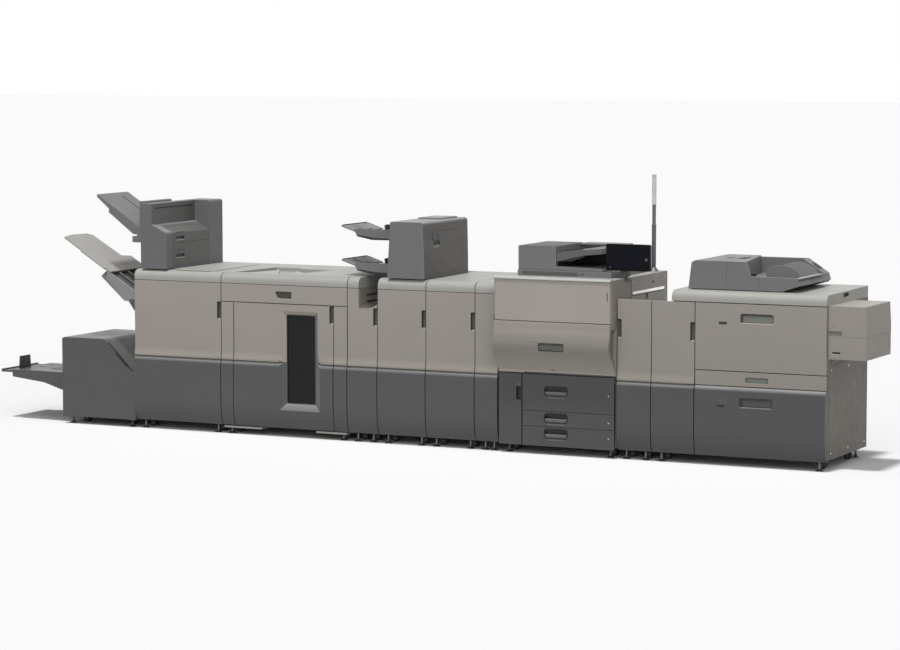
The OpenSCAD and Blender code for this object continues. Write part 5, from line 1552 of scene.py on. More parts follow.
@dataclass
class Engine:
    """The print engine: cabinet, covers, drawers and what they enclose.

    The profile gives the front cover's outline, as a height and its y from the top down.
    """

    x: float = ENGINE_X
    w: float = ENGINE_W
    front: float = -85
    drawers_x: float = 2693
    drawers_w: float = 592
    face_y: float = -58.7
    rear: float = 786
    grips: Triple = (353.35, 193.98, 101.88)
    grip_x: float = 2838.04
    grip_w: float = 146
    grip_h: float = 52
    drawer_z: tuple[Pair, ...] = ((260, 477), (168, 260), (50, 168))
    profile: tuple[Pair, ...] = ((793, -85), (749.5, -85), (712.1, -92.4), (674.8, -102.8), (643.7, -105),
                                 (606.4, -95.6), (562.9, -69.54), (522.4, -37.9), (497.6, -12.5),
                                 (482, -11.4))
    strips: int = 34
    apart: float = 5
    blend: float = 15
    near: float = 0.4

    @property
    def right(self) -> float:
        """Right side of the cabinet."""
        return self.x + self.w

    def build(self) -> None:
        """Builds the engine's pieces."""
        self.build_cabinet()
        self.build_rim()
        self.build_side()
        self.build_rear()
        self.build_upper_cover()
        self.build_front_cover()
        self.build_waste_door()
        for i in range(3):
            self.build_drawer(i)
        self.build_toner()
        self.build_imaging()

    def build_cabinet(self) -> None:
        """Coats the cabinet, with its bays in plain steel."""
        form = Form("engine_shell")
        inner = ((self.x + 2, 8.6, CARCASS_Z + 2), (self.right - 2, 600, 478))
        # The lower bays and the front face seen through the seams take the darkened bay steel: painted shade.
        zones = [Zone(*inner, BAY_SHADED),
                 Zone((self.x + 18, self.face_y + 0.3, 500), (self.right - 18, 290, 1026), BAY),
                 Zone((-FAR, -FAR, 1039.5), HIGHEST, PALE),
                 Zone((self.x - 1, 7, CARCASS_Z - 1), (self.right + 1, 8.6, 492), BAY_SHADED)]
        form.take("engine_cabinet", SIDE, zones, 1.4)
        form.block((self.right - 32, 6.4, 484), (self.right - 1, 9, 770), CREAM_PROUD, 0.8)
        form.complete(LINE, Slot.CARCASS)

    def build_rim(self) -> None:
        """Builds the pale convex rim along the front of the top plate."""
        form = Form("engine_top_rim")
        outline = [(-88.5, 1038.6), (-91, 1042), (-91, 1047), (-88, 1052), (-80, 1055), (-60, 1055.5),
                   (-52, 1050.2), (-84, 1049), (-84, 1038.6)]
        form.prism(outline, Axis.X, self.x + 3, self.right - 1, RIM, 1, 2)
        form.complete(LINE, Slot.LID)

    def build_side(self) -> None:
        """Fits the right side with its column, rail, socket, screws and the foot of the panel's arm."""
        form = Form("engine_side_fittings")
        face = self.right
        form.block((face - 0.4, 224, 870), (face + 0.8, 229, 1036), SHADOW_GREY, 0.2)
        # The side column takes the darkened cream: painted shade.
        form.block((face - 0.4, self.front + 28, 870), (face + 1.4, 222, 1036), CREAM_SHADED, 1)
        form.block((face - 0.4, 123, 1032), (face + 24, 158, 1049.5), BOX_DARK, 3, 3)
        form.block((face + 0.8, 448, 908), (face + 2.4, 476, 943), BLACK, 1)
        form.rod((face - 0.2, 560, 999), 9, 2.2, BLACK, RIGHTWARD, 16, 0.4)
        seats = [(face, y, z) for y in (250, 740) for z in (885, 1020)]
        form.screws(seats, RIGHTWARD, 4.5)
        form.block((face - 0.4, 236, 944), (face + SEAM + 1, 724, 961), RAIL, 3)
        form.block((face - 0.4, 236, 936), (face + 0.6, 724, 943.5), SOFT_BLACK, 0.2)
        form.complete(LINE, Slot.CARCASS)

    def build_rear(self) -> None:
        """Marks the seams of the rear panels."""
        form = Form("engine_rear_fittings")
        rear = self.rear
        for x in (self.x + 252, self.x + 502):
            form.block((x, rear - 2, 80), (x + 3, rear - 0.2, 1030), BAY_DARK, 0.2)
        for z in (470, 800):
            form.block((self.x + 10, rear - 2, z), (self.right - 10, rear - 0.2, z + 3), BAY_DARK, 0.2)
        form.complete(LINE, Slot.CARCASS)

    def build_upper_cover(self) -> None:
        """Builds the upper cover with its catch slot."""
        form = Form("engine_upper_cover_dressed")
        form.take("engine_upper_cover", CREAM_PROUD, (), 2)
        form.block((3266, self.front - 0.3, 928), (3271, self.front + 3, 980), BLACK, 0.5)
        form.block((3259, self.front - 0.4, 966), (3264, self.front + 2, 972), SHADOW_GREY, 0.5)
        form.block((self.x + 8, self.front + 26.2, 812), (self.right - 8, self.front + 26.3, 1020), BAY, 0)
        form.complete("engine_upper_cover", Slot.CREAM)

    def build_front_cover(self) -> None:
        """Builds the bulged front cover with its pull, lock and stepped lower edge."""
        form = Form("engine_front_cover_dressed")
        # The bulge's colour is darkened through its lower half: painted shade.
        form.take("engine_front_cover", CREAM_BULGE_SHADED, recess((2830, -98.5, 622), (3006, -69, 676), MESH_GREY),
                  2, self.swell)
        self.line_pull(form)
        form.block((2889, -27, 503), (2896, -20, 514), BLACK, 0.8)
        # Darkened cream beside the lock: painted shade.
        form.block((2900, -24.5, 505), (2921, -22, 512), CREAM_SHADED, 0.8)
        step = [(2698, 482.3), (2728, 496), (3284, 496), (3284, 482.3)]
        form.prism(step, Axis.Y, -15.2, -11, DARK_ENGINE, 0.4)
        form.complete("engine_front_cover", Slot.CREAM)

    def swell(self, shape: bmesh.types.BMesh) -> None:
        """Cuts the front into narrow strips and rounds the creases of its profile.

        Args:
            shape: the copy of the cover's node.
        """
        low, high = self.profile[-1][0], self.profile[0][0]
        for z in (low + (high - low) * i / self.strips for i in range(1, self.strips)):
            if min(abs(z - corner) for corner, _ in self.profile) < self.apart:
                continue
            bmesh.ops.bisect_plane(shape, geom=[*shape.verts, *shape.edges, *shape.faces], dist=MERGE_GAP,
                                   plane_co=(0, 0, z), plane_no=UPWARD)
        for vert in shape.verts:
            if abs(vert.co.y - self.bulge_y(vert.co.z)) < self.near:
                steps = [self.bulge_y(vert.co.z + lift * self.blend / 4) for lift in range(-4, 5)]
                vert.co.y = sum(steps) / len(steps)

    def bulge_y(self, z: float) -> float:
        """The front cover's y at a height, between the points of its profile.

        Args:
            z: the height.

        Returns:
            The cover's y there.
        """
        for (upper, y1), (lower, y0) in zip(self.profile, self.profile[1:]):
            if z >= lower:
                return y0 + (y1 - y0) * min(1, (z - lower) / (upper - lower))
        return self.profile[-1][1]

    @staticmethod
    def line_pull(form: Form) -> None:
        """Outlines the pull and fills it with its slatted liner.

        Args:
            form: the piece that it adds to.
        """
        outer, inner = rounded(2836.6, 624.4, 163, 47.8, 8), rounded(2840.6, 628.4, 155, 39.8, 5)
        form.frame_ring(outer, inner, Axis.Y, -102.2, -98, SOFT_BLACK, 0.8)
        for i in range(6):
            z = 631 + i * 6.4
            form.block((2841, -99, z), (2995, -94, z + 3.4), SLAT, 0.6, 1)

    def build_waste_door(self) -> None:
        """Builds the narrow waste box door with its mark."""
        form = Form("waste_door_dressed")
        slot = recess((2654, -11.6, 316), (2690, 2.6, 400), BLACK)
        # The door's back takes the darkened bay steel: painted shade.
        zones = [*slot, Zone((-FAR, 7.9, -FAR), (FAR, 20, FAR), BAY_SHADED)]
        form.take("waste_box_door", DARK_ENGINE, zones, 1.6)
        form.lathe([(0, 1), (2.6, 1), (3, 0), (0, 0)], (2672, -12, 412), MARK, FRONTWARD, 12)
        form.complete("waste_box_door", Slot.DARK)

    def build_drawer(self, i: int) -> None:
        """Builds one paper drawer with its framed grip, level mark and box.

        Args:
            i: 0 for the upper drawer, 2 for the lowest.
        """
        node = f"paper_drawer_{i + 1}"
        x, z, w, h = self.grip_x, self.grips[i], self.grip_w, self.grip_h
        form = Form(f"{node}_dressed")
        zones = [Zone((-FAR, 8.4, -FAR), HIGHEST, BAY),
                 *recess((x - 1, -11.6, z - 1), (x + w + 1, 2.4, z + h + 1), BLACK),
                 # The grip's front and upward faces take lighter finishes: painted highlight.
                 Zone((x - 1, -11.4, z - 1), (x + w + 1, -1, z + 22.6), GRIP_LIP_HIGHLIGHT, FRONTWARD),
                 Zone((x - 1, -8, z + 10), (x + w + 1, -1, z + 22.6), GRIP_BAR_HIGHLIGHT, UPWARD)]
        form.take(node, DARK_ENGINE, zones, 1.4)
        # A real bar, coloured lighter as painted highlight.
        form.prism(rounded(x + 6, z + 14, w - 12, 7, 3.2, 3), Axis.Y, -12.6, -9, GRIP_BAR_HIGHLIGHT, 1.4, 3)
        outer = rounded(x - 4, z - 4, w + 8, h + 9, 21, 5)
        inner = rounded(x + 3, z + 3, w - 6, h - 9, 15, 5)
        form.frame_ring(outer, inner, Axis.Y, -13.6, -11.5, PITCH, 0.5)
        form.prism(rounded(x + 7, z + 38, w - 14, 9, 4, 3), Axis.Y, -12.2, -4, PITCH, 0.5)
        # A lighter curve below the grip: painted highlight.
        form.prism(rounded(x + 16, z - 17, w - 30, 10, 4, 3), Axis.Y, -13, -11.5, GRIP_LIP_HIGHLIGHT, 1, 2)
        low, high = self.drawer_z[i]
        level = (low + high) / 2 - 2 if i == 0 else z + 13
        form.prism([(3241, level + 4), (3249, level - 4), (3254, level + 1), (3250, level + 7)], Axis.Y,
                   -12.6, -11.5, MARK, 0.4)
        form.block((3236, -12.3, level - 8), (3258, -11.6, level + 11), SHADOW_GREY, 0.3)
        self.fit_tray(form, low, high)
        form.complete(node, Slot.DARK)

    def fit_tray(self, form: Form, low: float, high: float) -> None:
        """Fits the drawer's box with a bottom plate, side guides and an end stop.

        Args:
            form: the piece that it adds to.
            low: lower edge of the drawer's front.
            high: upper edge of the drawer's front.
        """
        box_z = max(low, CARCASS_Z) + 24
        form.block((self.drawers_x + 40, 30, box_z), (self.drawers_x + self.drawers_w - 60, 500, box_z + 3),
                   STEEL, 0.8)
        for y in (90, 400):
            form.block((self.drawers_x + 120, y, box_z + 2), (self.drawers_x + 420, y + 6, (low + high) / 2),
                       CUP_GREY, 1.5)
        form.block((self.drawers_x + 470, 200, box_z + 2), (self.drawers_x + 482, 290, (low + high) / 2),
                   LEVER, 2)

    def build_toner(self) -> None:
        """Dresses the toner bottles with caps and grip rings."""
        form = Form("toner_bottles_dressed").take("toner_bottles", BLACK, (), 1)
        pitch = (self.w - 4 * WALL) / 4
        for i, colour in enumerate(CAPS):
            x = self.x + 2 * WALL + pitch * (i + 0.5)
            ring = [(0, 8), (20, 8), (24, 5), (38, 4), (40, 0), (0, 0)]
            form.lathe(ring, (x, self.face_y + 15.5, 864), colour, FRONTWARD, 28)
            for y in (30, 90, 150):
                form.lathe([(44, 0), (45.6, 1.5), (45.6, 6.5), (44, 8)], (x, y, 864), SOFT_BLACK, REARWARD,
                           28)
        form.complete(LINE, Slot.TONER)

    def build_imaging(self) -> None:
        """Dresses the drum units, the transfer belt and the fuser."""
        form = Form("imaging_units_dressed")
        zones = [Zone((self.x + 40, 20, 560), (self.x + 560, 260, 600), BELT),
                 Zone((3040, 20, 520), (3300, 260, 700), TABLE)]
        form.take("imaging_units", SOFT_BLACK, zones, 1)
        for i in range(4):
            x = self.x + 3 * WALL + self.w * 0.165 * i + 40
            form.block((x, 14, 516), (x + 26, 25, 548), LEVER, 3, 3)
        form.block((3150, 12, 620), (3220, 25, 640), LEVER, 3, 3)
        form.complete(LINE, Slot.TONER)


@dataclass
class DocumentFeeder:
    """The scanner top and the document feeder on the engine."""

    x: float = 2622
    front: float = 88
    base_z: float = 1084.3
    box_right: float = 2865
    right: float = 3162
    height: float = 143

    def build(self) -> None:
        """Builds the scanner top, its glass, the feeder and its tray."""
        form = Form("scanner_top_dressed").take("scanner_top", BOX, (), 2)
        form.block((2650, 79.2, 1056), (3010, 81, 1078), BOX_DARK, 0.8)
        form.block((3020, 79.4, 1060), (3050, 81, 1074), BOX_SHADED_SIDE, 0.8)
        form.complete(LINE, Slot.BOX)
        dress_node("platen_glass_dressed", "platen_glass", LINE, Slot.PLATEN, GLASS, (), 0.4)
        self.build_head()
        self.build_tray()

    def build_head(self) -> None:
        """Builds the feeder's box with its cover line and its output slot."""
        form = Form("document_feeder_dressed")
        top = self.base_z + self.height
        zones = [Zone((self.x, self.front, top - 3), (self.right, 700, top + 3), BOX_TOP)]
        form.take("document_feeder", BOX, zones, 2.4)
        form.block((self.box_right - 4, 452, self.base_z + 20), (self.right - 6, 560, top - 4), SOFT_BLACK, 3,
                   3)
        form.block((self.box_right - 2, 448, top - 16), (self.right - 4, 566, top - 2), BOX, 4, 3)
        form.block((self.x + 26, self.front + 14, top - 0.4), (self.box_right - 30, 470, top + 0.8), BOX_TOP,
                   0.8)
        form.block((self.x + 60, self.front - 0.8, top - 30), (self.x + 64, self.front + 0.5, top - 4),
                   BOX_DARK, 0.3)
        form.block((self.box_right - 0.6, 110, self.base_z + 26), (self.box_right + 1, 430, self.base_z + 44),
                   BLACK, 0.4)
        form.block((self.box_right + 2, 104, self.base_z + 21), (self.right - 4, 560, self.base_z + 25),
                   SOFT_BLACK, 1.5)
        form.complete("document_feeder", Slot.BOX)

    def build_tray(self) -> None:
        """Builds the inclined input tray with its side guides and black underside."""
        form = Form("feeder_tray_dressed")
        zones = [Zone((2870, 98, 1130), (3160, 500, 1240), BLACK, (0, 0, -1)),
                 Zone((2872, 120, 1120), (3160, 470, 1240), BOX_DARK, UPWARD)]
        form.take("document_feeder_tray", BOX_SHADED_SIDE, zones, 1.6)
        for y in (160, 400):
            form.prism([(2890, 1178), (3010, 1203), (3004, 1222), (2900, 1200)], Axis.Y, y, y + 6, SOFT_BLACK,
                       1.2)
        form.prism([(2872, 1140), (2960, 1140), (3050, 1172), (3040, 1178), (2950, 1152), (2872, 1152)],
                   Axis.Y, 97.4, 99, BLACK, 0.5)
        form.complete("document_feeder_tray", Slot.BOX)


@dataclass
class OperationPanel:
    """The tilting operation panel on its arm."""

    x: float = 3183.5
    z: float = 1096
    w: float = 277
    h: float = 156
    front: float = 94

    def build(self) -> None:
        """Builds the arm, and the panel with its display, key and lamps."""
        dress_node("panel_arm_dressed", "control_panel_arm", "control_panel_arm", Slot.BOX, BOX_DARK, (), 1.6)
        panel = Form("operation_panel_dressed")
        panel.take("control_panel", BEZEL, [Zone((-FAR, self.front + 20, -FAR), HIGHEST, SOFT_BLACK)], 1.6)
        glass = rounded(self.x + 12.2, self.z + 12.2, self.w - 24.4, self.h - 24.4, 3)
        panel.prism(glass, Axis.Y, self.front + 0.8, self.front + 2.4, BEZEL, 0.6)
        display = rounded(self.x + self.w * 0.13, self.z + 17, self.w * 0.69, self.h - 34, 2)
        panel.prism(display, Axis.Y, self.front + 0.3, self.front + 1.6, DISPLAY, 0.5)
        key = (self.x + self.w * 0.915, self.front + 1.2, self.z + self.h * 0.43)
        panel.lathe([(0, 1.6), (6, 1.5), (8.5, 0.8), (9, 0), (0, 0)], key, KEY, FRONTWARD, 24)
        for i, colour in enumerate((LED_ON, LED_OFF)):
            seat = (self.x + 20 + i * 9, self.front + 1.4, self.z + 19)
            panel.lathe([(0, 1.4), (1.6, 1.1), (2.2, 0), (0, 0)], seat, colour, FRONTWARD, 12)
        for i in range(5):
            z = self.z + 60 + i * 12
            panel.block((self.x + 60, self.front + 23.4, z), (self.x + 130, self.front + 24.4, z + 4), BLACK,
                        0.4)
        panel.complete("control_panel", Slot.PANEL)


@dataclass
class SignalTower:
    """The signal tower behind the engine's right corner."""

    x: float = 3240
    y: float = 690
    foot_z: float = 1050
    lamp_z: float = 1452
    lamp_l: float = 84

    def build(self) -> None:
        """Builds the pole with its flange, and the lenses with their rings."""
        pole = Form("signal_pole_dressed").take("signal_tower_pole", POLE, (), 0.6)
        flange = [(0, 6), (22, 6), (26, 4), (29, 3), (29.5, 0), (0, 0)]
        pole.lathe(flange, (self.x, self.y, self.foot_z), POLE, steps=28)
        pole.lathe([(11, -6), (14.5, -6), (14.5, 4), (11.4, 6)], (self.x, self.y, 1326), POLE, steps=24)
        pole.complete(LINE, Slot.POLE)
        lamps = Form("signal_lenses_dressed")
        lamps.take("signal_tower_lamps", LENS, (), 0.5)
        for z in (self.lamp_z + self.lamp_l, self.lamp_z + 2 * self.lamp_l + 6):
            lamps.lathe([(12, 0.2), (13.95, 0.2), (13.95, 5.8), (12, 5.8)], (self.x, self.y, z), POLE,
                        steps=24)
        lamps.complete(LINE, Slot.LAMP)


@dataclass
class LargeFeeder:
    """The large paper feeder: cabinet, two drawers and the flap between them."""

    x: float = FEEDER_X
    drawer_x: float = DRAWER_X
    right: float = LINE_END
    grip_x: float = 4057.9

    def build(self) -> None:
        """Builds the cabinet, its right side, the drawers and the flap."""
        bay = Zone((self.x + 2, CARCASS_Y + 0.2, 70), (self.right - 2, 660, 927), BAY)
        # The shell takes the darker copy of the side panel colour: painted shade.
        dress_node("large_feeder_shell", "feeder_cabinet", LINE, Slot.CARCASS, SIDE_SHADED, [bay], 2)
        self.build_side()
        self.build_upper_drawer()
        self.build_flap()
        self.build_lower_drawer()

    def build_side(self) -> None:
        """Fits the right side with its seam, raised panels and screws."""
        form = Form("feeder_side_fittings")
        face = self.right
        form.block((face - 0.4, 30, 606), (face + 0.5, DEPTH - 4, 608.5), SHADOW_GREY, 0.1)
        # The raised panels take the darker copy of the side panel colour: painted shade.
        form.block((face - 0.4, 60, 66), (face + 1.2, DEPTH - 20, 600), SIDE_SHADED, 1)
        form.block((face - 0.4, 90, 620), (face + 1.2, DEPTH - 20, 930), SIDE_SHADED, 1)
        seats = [(face + 1.2, y, z)
                 for y, z in ((90, 575), (390, 575), (680, 575), (90, 100), (390, 100), (680, 100),
                              (560, 900), (560, 650))]
        form.screws(seats, RIGHTWARD, 5.5)
        form.complete(LINE, Slot.CARCASS)

    def fit_box(self, form: Form, low: float, high: float) -> None:
        """Fits a feed drawer's box with its lift plate, side guides and end stop.

        Args:
            form: the piece that it adds to.
            low: lower edge of the drawer.
            high: upper edge of the drawer.
        """
        middle = (low + high) / 2
        form.block((self.drawer_x + 60, 60, low + 40), (self.right - 60, 600, low + 44), STEEL, 1)
        for y in (120, 520):
            form.block((self.drawer_x + 200, y, low + 44), (self.drawer_x + 560, y + 8, middle + 60),
                       CUP_GREY, 2)
        form.block((self.drawer_x + 640, 280, low + 44), (self.drawer_x + 656, 380, middle + 40), LEVER, 3)

    def build_upper_drawer(self) -> None:
        """Builds the upper drawer with its grip and its paper indicator."""
        form = Form("upper_feed_drawer_dressed")
        z = 827.4
        zones = [PANEL_BACK,
                 *recess((self.grip_x - 1, 0.4, z - 1), (self.grip_x + 201, 14.3, z + 57), CUP_GREY, SILL_HIGHLIGHT)]
        form.take("upper_feed_drawer", CREAM, zones, 1.8)
        # The grip's sill and lower lip are a painted highlight; its dark upper and left edges a painted
        # shadow.
        self.line_grip(form, z, 0, CUP_PALE, SILL_HIGHLIGHT)
        self.indicator(form, (3924, 835), -0.8, TAG, (3927, 3975, 828))
        self.fit_box(form, 575, 930)
        form.complete("upper_feed_drawer", Slot.CREAM)

    def line_grip(self, form: Form, z: float, front: float, floor: Finish, lip: Finish) -> None:
        """Lines a drawer's grip: a floor, soft black strips on its upper and left edges as painted shadow,
        and a lower lip in a lighter finish as painted highlight.

        Args:
            form: the piece that it adds to.
            z: lower edge of the grip.
            front: y of the drawer's face.
            floor: finish of the floor.
            lip: finish of the lip, a painted highlight.
        """
        left, right, top = self.grip_x + 2, self.grip_x + 198, z + 54
        form.block((left + 6, front + 11.6, z + 6), (right - 4, front + 13.8, top - 6), floor, 0.5)
        # Painted shadow: soft black strips along the grip's left and upper edges.
        form.block((left, front + 0.8, z + 4), (left + 9, front + 11, top), SOFT_BLACK, 2)
        form.block((left, front + 0.8, top - 8), (right, front + 11, top), SOFT_BLACK, 2)
        # Painted highlight: the lower lip's lighter finish.
        form.block((left + 2, front - 0.8, z - 4), (right - 2, front + 8, z + 4), lip, 2.2, 3)

    @staticmethod
    def indicator(form: Form, tag: Pair, front: float, finish: Finish, bar: Triple) -> None:
        """Adds the blank tag and the dark level bar left of a drawer's grip.

        Args:
            form: the drawer's piece.
            tag: the tag's left and lower edge.
            front: y of the drawer's face.
            finish: the tag's finish.
            bar: left end, right end and lower edge of the bar.
        """
        x, z = tag
        form.block((x, front, z), (x + 56, front + 1.2, z + 34), finish, 0.6)
        left, right, low = bar
        form.block((left, front - 0.8, low - 8), (right, front + 0.6, low + 4), BLACK, 0.8)

    def build_flap(self) -> None:
        """Builds the flap between the drawers."""
        form = Form("feeder_flap_dressed")
        low, high = (self.grip_x + 31, 0.4, 485), (self.grip_x + 171, 14.3, 519)
        form.take("feeder_flap", CREAM, [PANEL_BACK, *recess(low, high, FLAP_CUP, SILL_HIGHLIGHT)], 1.6)
        form.block((self.grip_x + 40, 12.2, 491), (self.grip_x + 162, 13.8, 512), FLAP_CUP, 0.5)
        form.complete("feeder_flap", Slot.CREAM)

    def build_lower_drawer(self) -> None:
        """Builds the dark lower drawer."""
        form = Form("lower_feed_drawer_dressed")
        z = 345.4
        # The split's lighter bands and the grip's sill faces are a painted highlight.
        zones = [*split_zones()[1:],
                 *recess((self.grip_x - 1, -11.6, z - 1), (self.grip_x + 201, 8.5, z + 57), BLACK, GRIP_LIP_HIGHLIGHT)]
        form.take("lower_feed_drawer", DARK, zones, 1.8)
        self.line_grip(form, z, -12, BOX_DARK, GRIP_BAR_HIGHLIGHT)
        self.indicator(form, (3926, 366), -12.5, TAG_DARK, (3922, 3968, 352))
        self.fit_box(form, 80, 440)
        form.complete("lower_feed_drawer", Slot.DARK)


@dataclass
class TopFeeder:
    """The top feeder with its two side fences; its outlines are in shares of its width and height."""

    x: float = 3702.7
    y: float = 86
    z: float = 1009.3
    w: float = 676
    d: float = 560
    h: float = 190
    wall: float = 22
    head: float = 0.518
    slant: float = 107
    head_top: float = 0.865
    rear_top: float = 0.82
    low_top: float = 0.415
    floor: float = 1072
    fence: Triple = (4134.3, 224.1, 79.8)
    fence_y: float = 489.2
    hump: tuple[Pair, ...] = ((0, 0), (0, 0.72), (0.12, 0.86), (0.3, 0.97), (0.5, 1), (0.7, 0.84),
                              (0.88, 0.5), (1, 0))

    def build(self) -> None:
        """Builds the housing and the fence that slides."""
        form = Form("top_feeder_dressed")
        self.build_head(form)
        self.build_tray(form)
        self.dress(form)
        form.complete(LINE, Slot.BOX, "top_feeder_housing")
        fence = Form("top_feeder_fence_dressed").take("top_feeder_fence", BOX, (), 2)
        fence.block((4159, self.y + 131, self.floor + 2), (4217, self.y + 152, self.floor + 14), BLACK, 2)
        fence.complete("top_feeder_fence", Slot.BOX)

    def spots(self, *shares: Pair) -> list[Pair]:
        """Points of an outline across the depth, from shares of the width and height."""
        return [(self.x + self.w * u, self.z + self.h * v) for u, v in shares]

    def build_head(self, form: Form) -> None:
        """Builds the head, whose right side slants back, with the front wall that runs on from it.

        Args:
            form: the piece that it adds to.
        """
        low, high = self.low_top, self.head_top
        wall = self.spots((0, 0), (0.028, 0.8), (0.06, high), (self.head, high), (0.565, low + 0.015),
                          (0.988, low), (1, 0.18), (0.85, 0))
        form.prism(wall, Axis.Y, self.y, self.y + self.wall, BOX, 3, 3)
        inset = 0.002
        box = self.spots((inset, 0), (0.03, 0.8 - inset), (0.062, high - inset), (self.head, high - inset),
                         (self.head + 0.01, 0))
        shape = form.grown(box, Axis.Y, self.y + self.wall - 8, self.y + self.d - 12)
        for vert in shape.verts:
            if vert.co.x > self.x + self.w * 0.4 and vert.co.y > self.y + self.d / 2:
                vert.co.x -= self.slant
        form.soften(shape, 3, 3)
        form.gather(shape, BOX)

    def build_tray(self, form: Form) -> None:
        """Builds the floor, the rear and end walls with their corner block, and the rear fence.

        Args:
            form: the piece that it adds to.
        """
        back = self.y + self.d
        low = self.spots((0.25, 0.002), (0.25, 0.33), (0.985, 0.33), (0.998, 0.18), (0.85, 0.002))
        form.prism(low, Axis.Y, self.y + self.wall - 4, back - 4, BOX, 1.5)
        rear = self.spots((0.02, 0), (0.05, 0.78), (0.09, self.rear_top), (0.793, self.rear_top),
                          (0.981, 0.385), (0.981, 0.12), (0.85, 0))
        form.prism(rear, Axis.Y, back - self.wall, back, BOX, 3, 3)
        corner = self.spots((0.72, 0.3), (0.793, self.rear_top), (0.981, 0.385), (0.981, 0.12), (0.85, 0.02))
        form.prism(corner, Axis.Y, back - 90, back - 6, BOX, 3, 3)
        right = self.x + self.w
        form.block((right - 16, self.y + self.wall - 6, self.floor - 6), (right - 6, back - 70, 1087), BOX, 2)
        x, w, h = self.fence
        hump = [(x + w * u, self.floor + h * v) for u, v in self.hump]
        # The rear fence takes the lighter box grey: painted light.
        form.prism(hump, Axis.Y, self.fence_y, self.fence_y + 5, BOX_LIT_SHELF, 1.8)

    def dress(self, form: Form) -> None:
        """Adds the vents and seams of the head, and the tray's grip bar, latch and pads.

        Args:
            form: the piece that it adds to.
        """
        top, right = self.z + self.h * self.head_top, self.x + self.w
        for x, y, count in ((3842, 322, 2), (3922, 300, 5)):
            for i in range(count):
                form.block((x, y + i * 26, top - 0.5), (x + 46, y + 12 + i * 26, top + 0.8), BLACK, 0.5)
        for x, high in ((3935, top - 5), (4133, self.z + self.h * self.low_top - 3)):
            form.block((x, self.y - 0.5, self.z + 4), (x + 3, self.y + 0.6, high), BOX_DARK, 0.2)
        form.block((3935, self.y + 2, top - 0.5), (3938, self.y + self.d - 24, top + 0.4), BOX_DARK, 0.2)
        # The grip bar's upper edge takes the lighter lip finish: painted highlight.
        form.block((right - 18, self.y + 14, 1083), (right + 0.5, self.y + 387, 1090), SILL_HIGHLIGHT, 2, 3)
        form.block((right - 10, self.y + 16, 1070), (right + 0.2, self.y + 385, 1079), BLACK, 1)
        (x0, z0), (x1, z1) = self.spots((0.855, 0.676), (0.921, 0.524))
        form.prism([(x0, z0 + 1), (x1, z1 + 1), (x1 + 1, z1 + 3.4), (x0 + 1, z0 + 3.4)], Axis.Y, 582, 634,
                   BLACK, 0.8)
        form.block((4078, self.y + self.wall + 1, 1088), (4100, self.y + self.wall + 30, 1108), BLACK, 2)
        for y in (self.y + 200, self.y + 330):
            form.block((4083, y, self.floor - 0.5), (4263, y + 8, self.floor + 1.4), BLACK, 0.6)


@dataclass
class BypassFeeder:
    """The bypass feeder on the line's right end."""

    x: float = LINE_END
    front: float = 25
    right: float = 4801
    low: float = 644
    line_z: float = 771.8

    def build(self) -> None:
        """Builds the housing and the cover over its paper well."""
        form = Form("bypass_housing_dressed")
        zones = [*recess((self.x + 26, self.front + 0.2, self.low + 32),
                         (self.x + 74, self.front + 10.2, self.low + 45), BLACK),
                 # The paper well takes the darkened bay steel: painted shade.
                 Zone((self.x + 17, self.front + 17, self.low + 60),
                      (self.right - 17, 448, self.line_z - 0.5), BAY_SHADED)]
        form.take("bypass_housing", CREAM, zones, 2.4)
        form.screws([(self.right - 2.6, y, self.low + 30) for y in (70, 420)], RIGHTWARD, 4.5)
        form.block((self.x + 40, 80, 712), (self.right - 30, 86, 760), CUP_GREY, 1.5)
        form.complete(LINE, Slot.CREAM)
        cover = Form("bypass_cover_dressed")
        # The pocket's sill faces are a painted highlight.
        cover.take("bypass_cover", CREAM,
                   recess((self.x + 4, self.front + 0.2, self.line_z + 3),
                          (self.x + 90, self.front + 10.2, self.line_z + 36), CUP_PALE, SILL_HIGHLIGHT), 0)
        cover.lathe(LOCK, (self.x + 30, self.front, 836), SHADOW_GREY, FRONTWARD, 12)
        cover.complete("bypass_cover", Slot.CREAM)


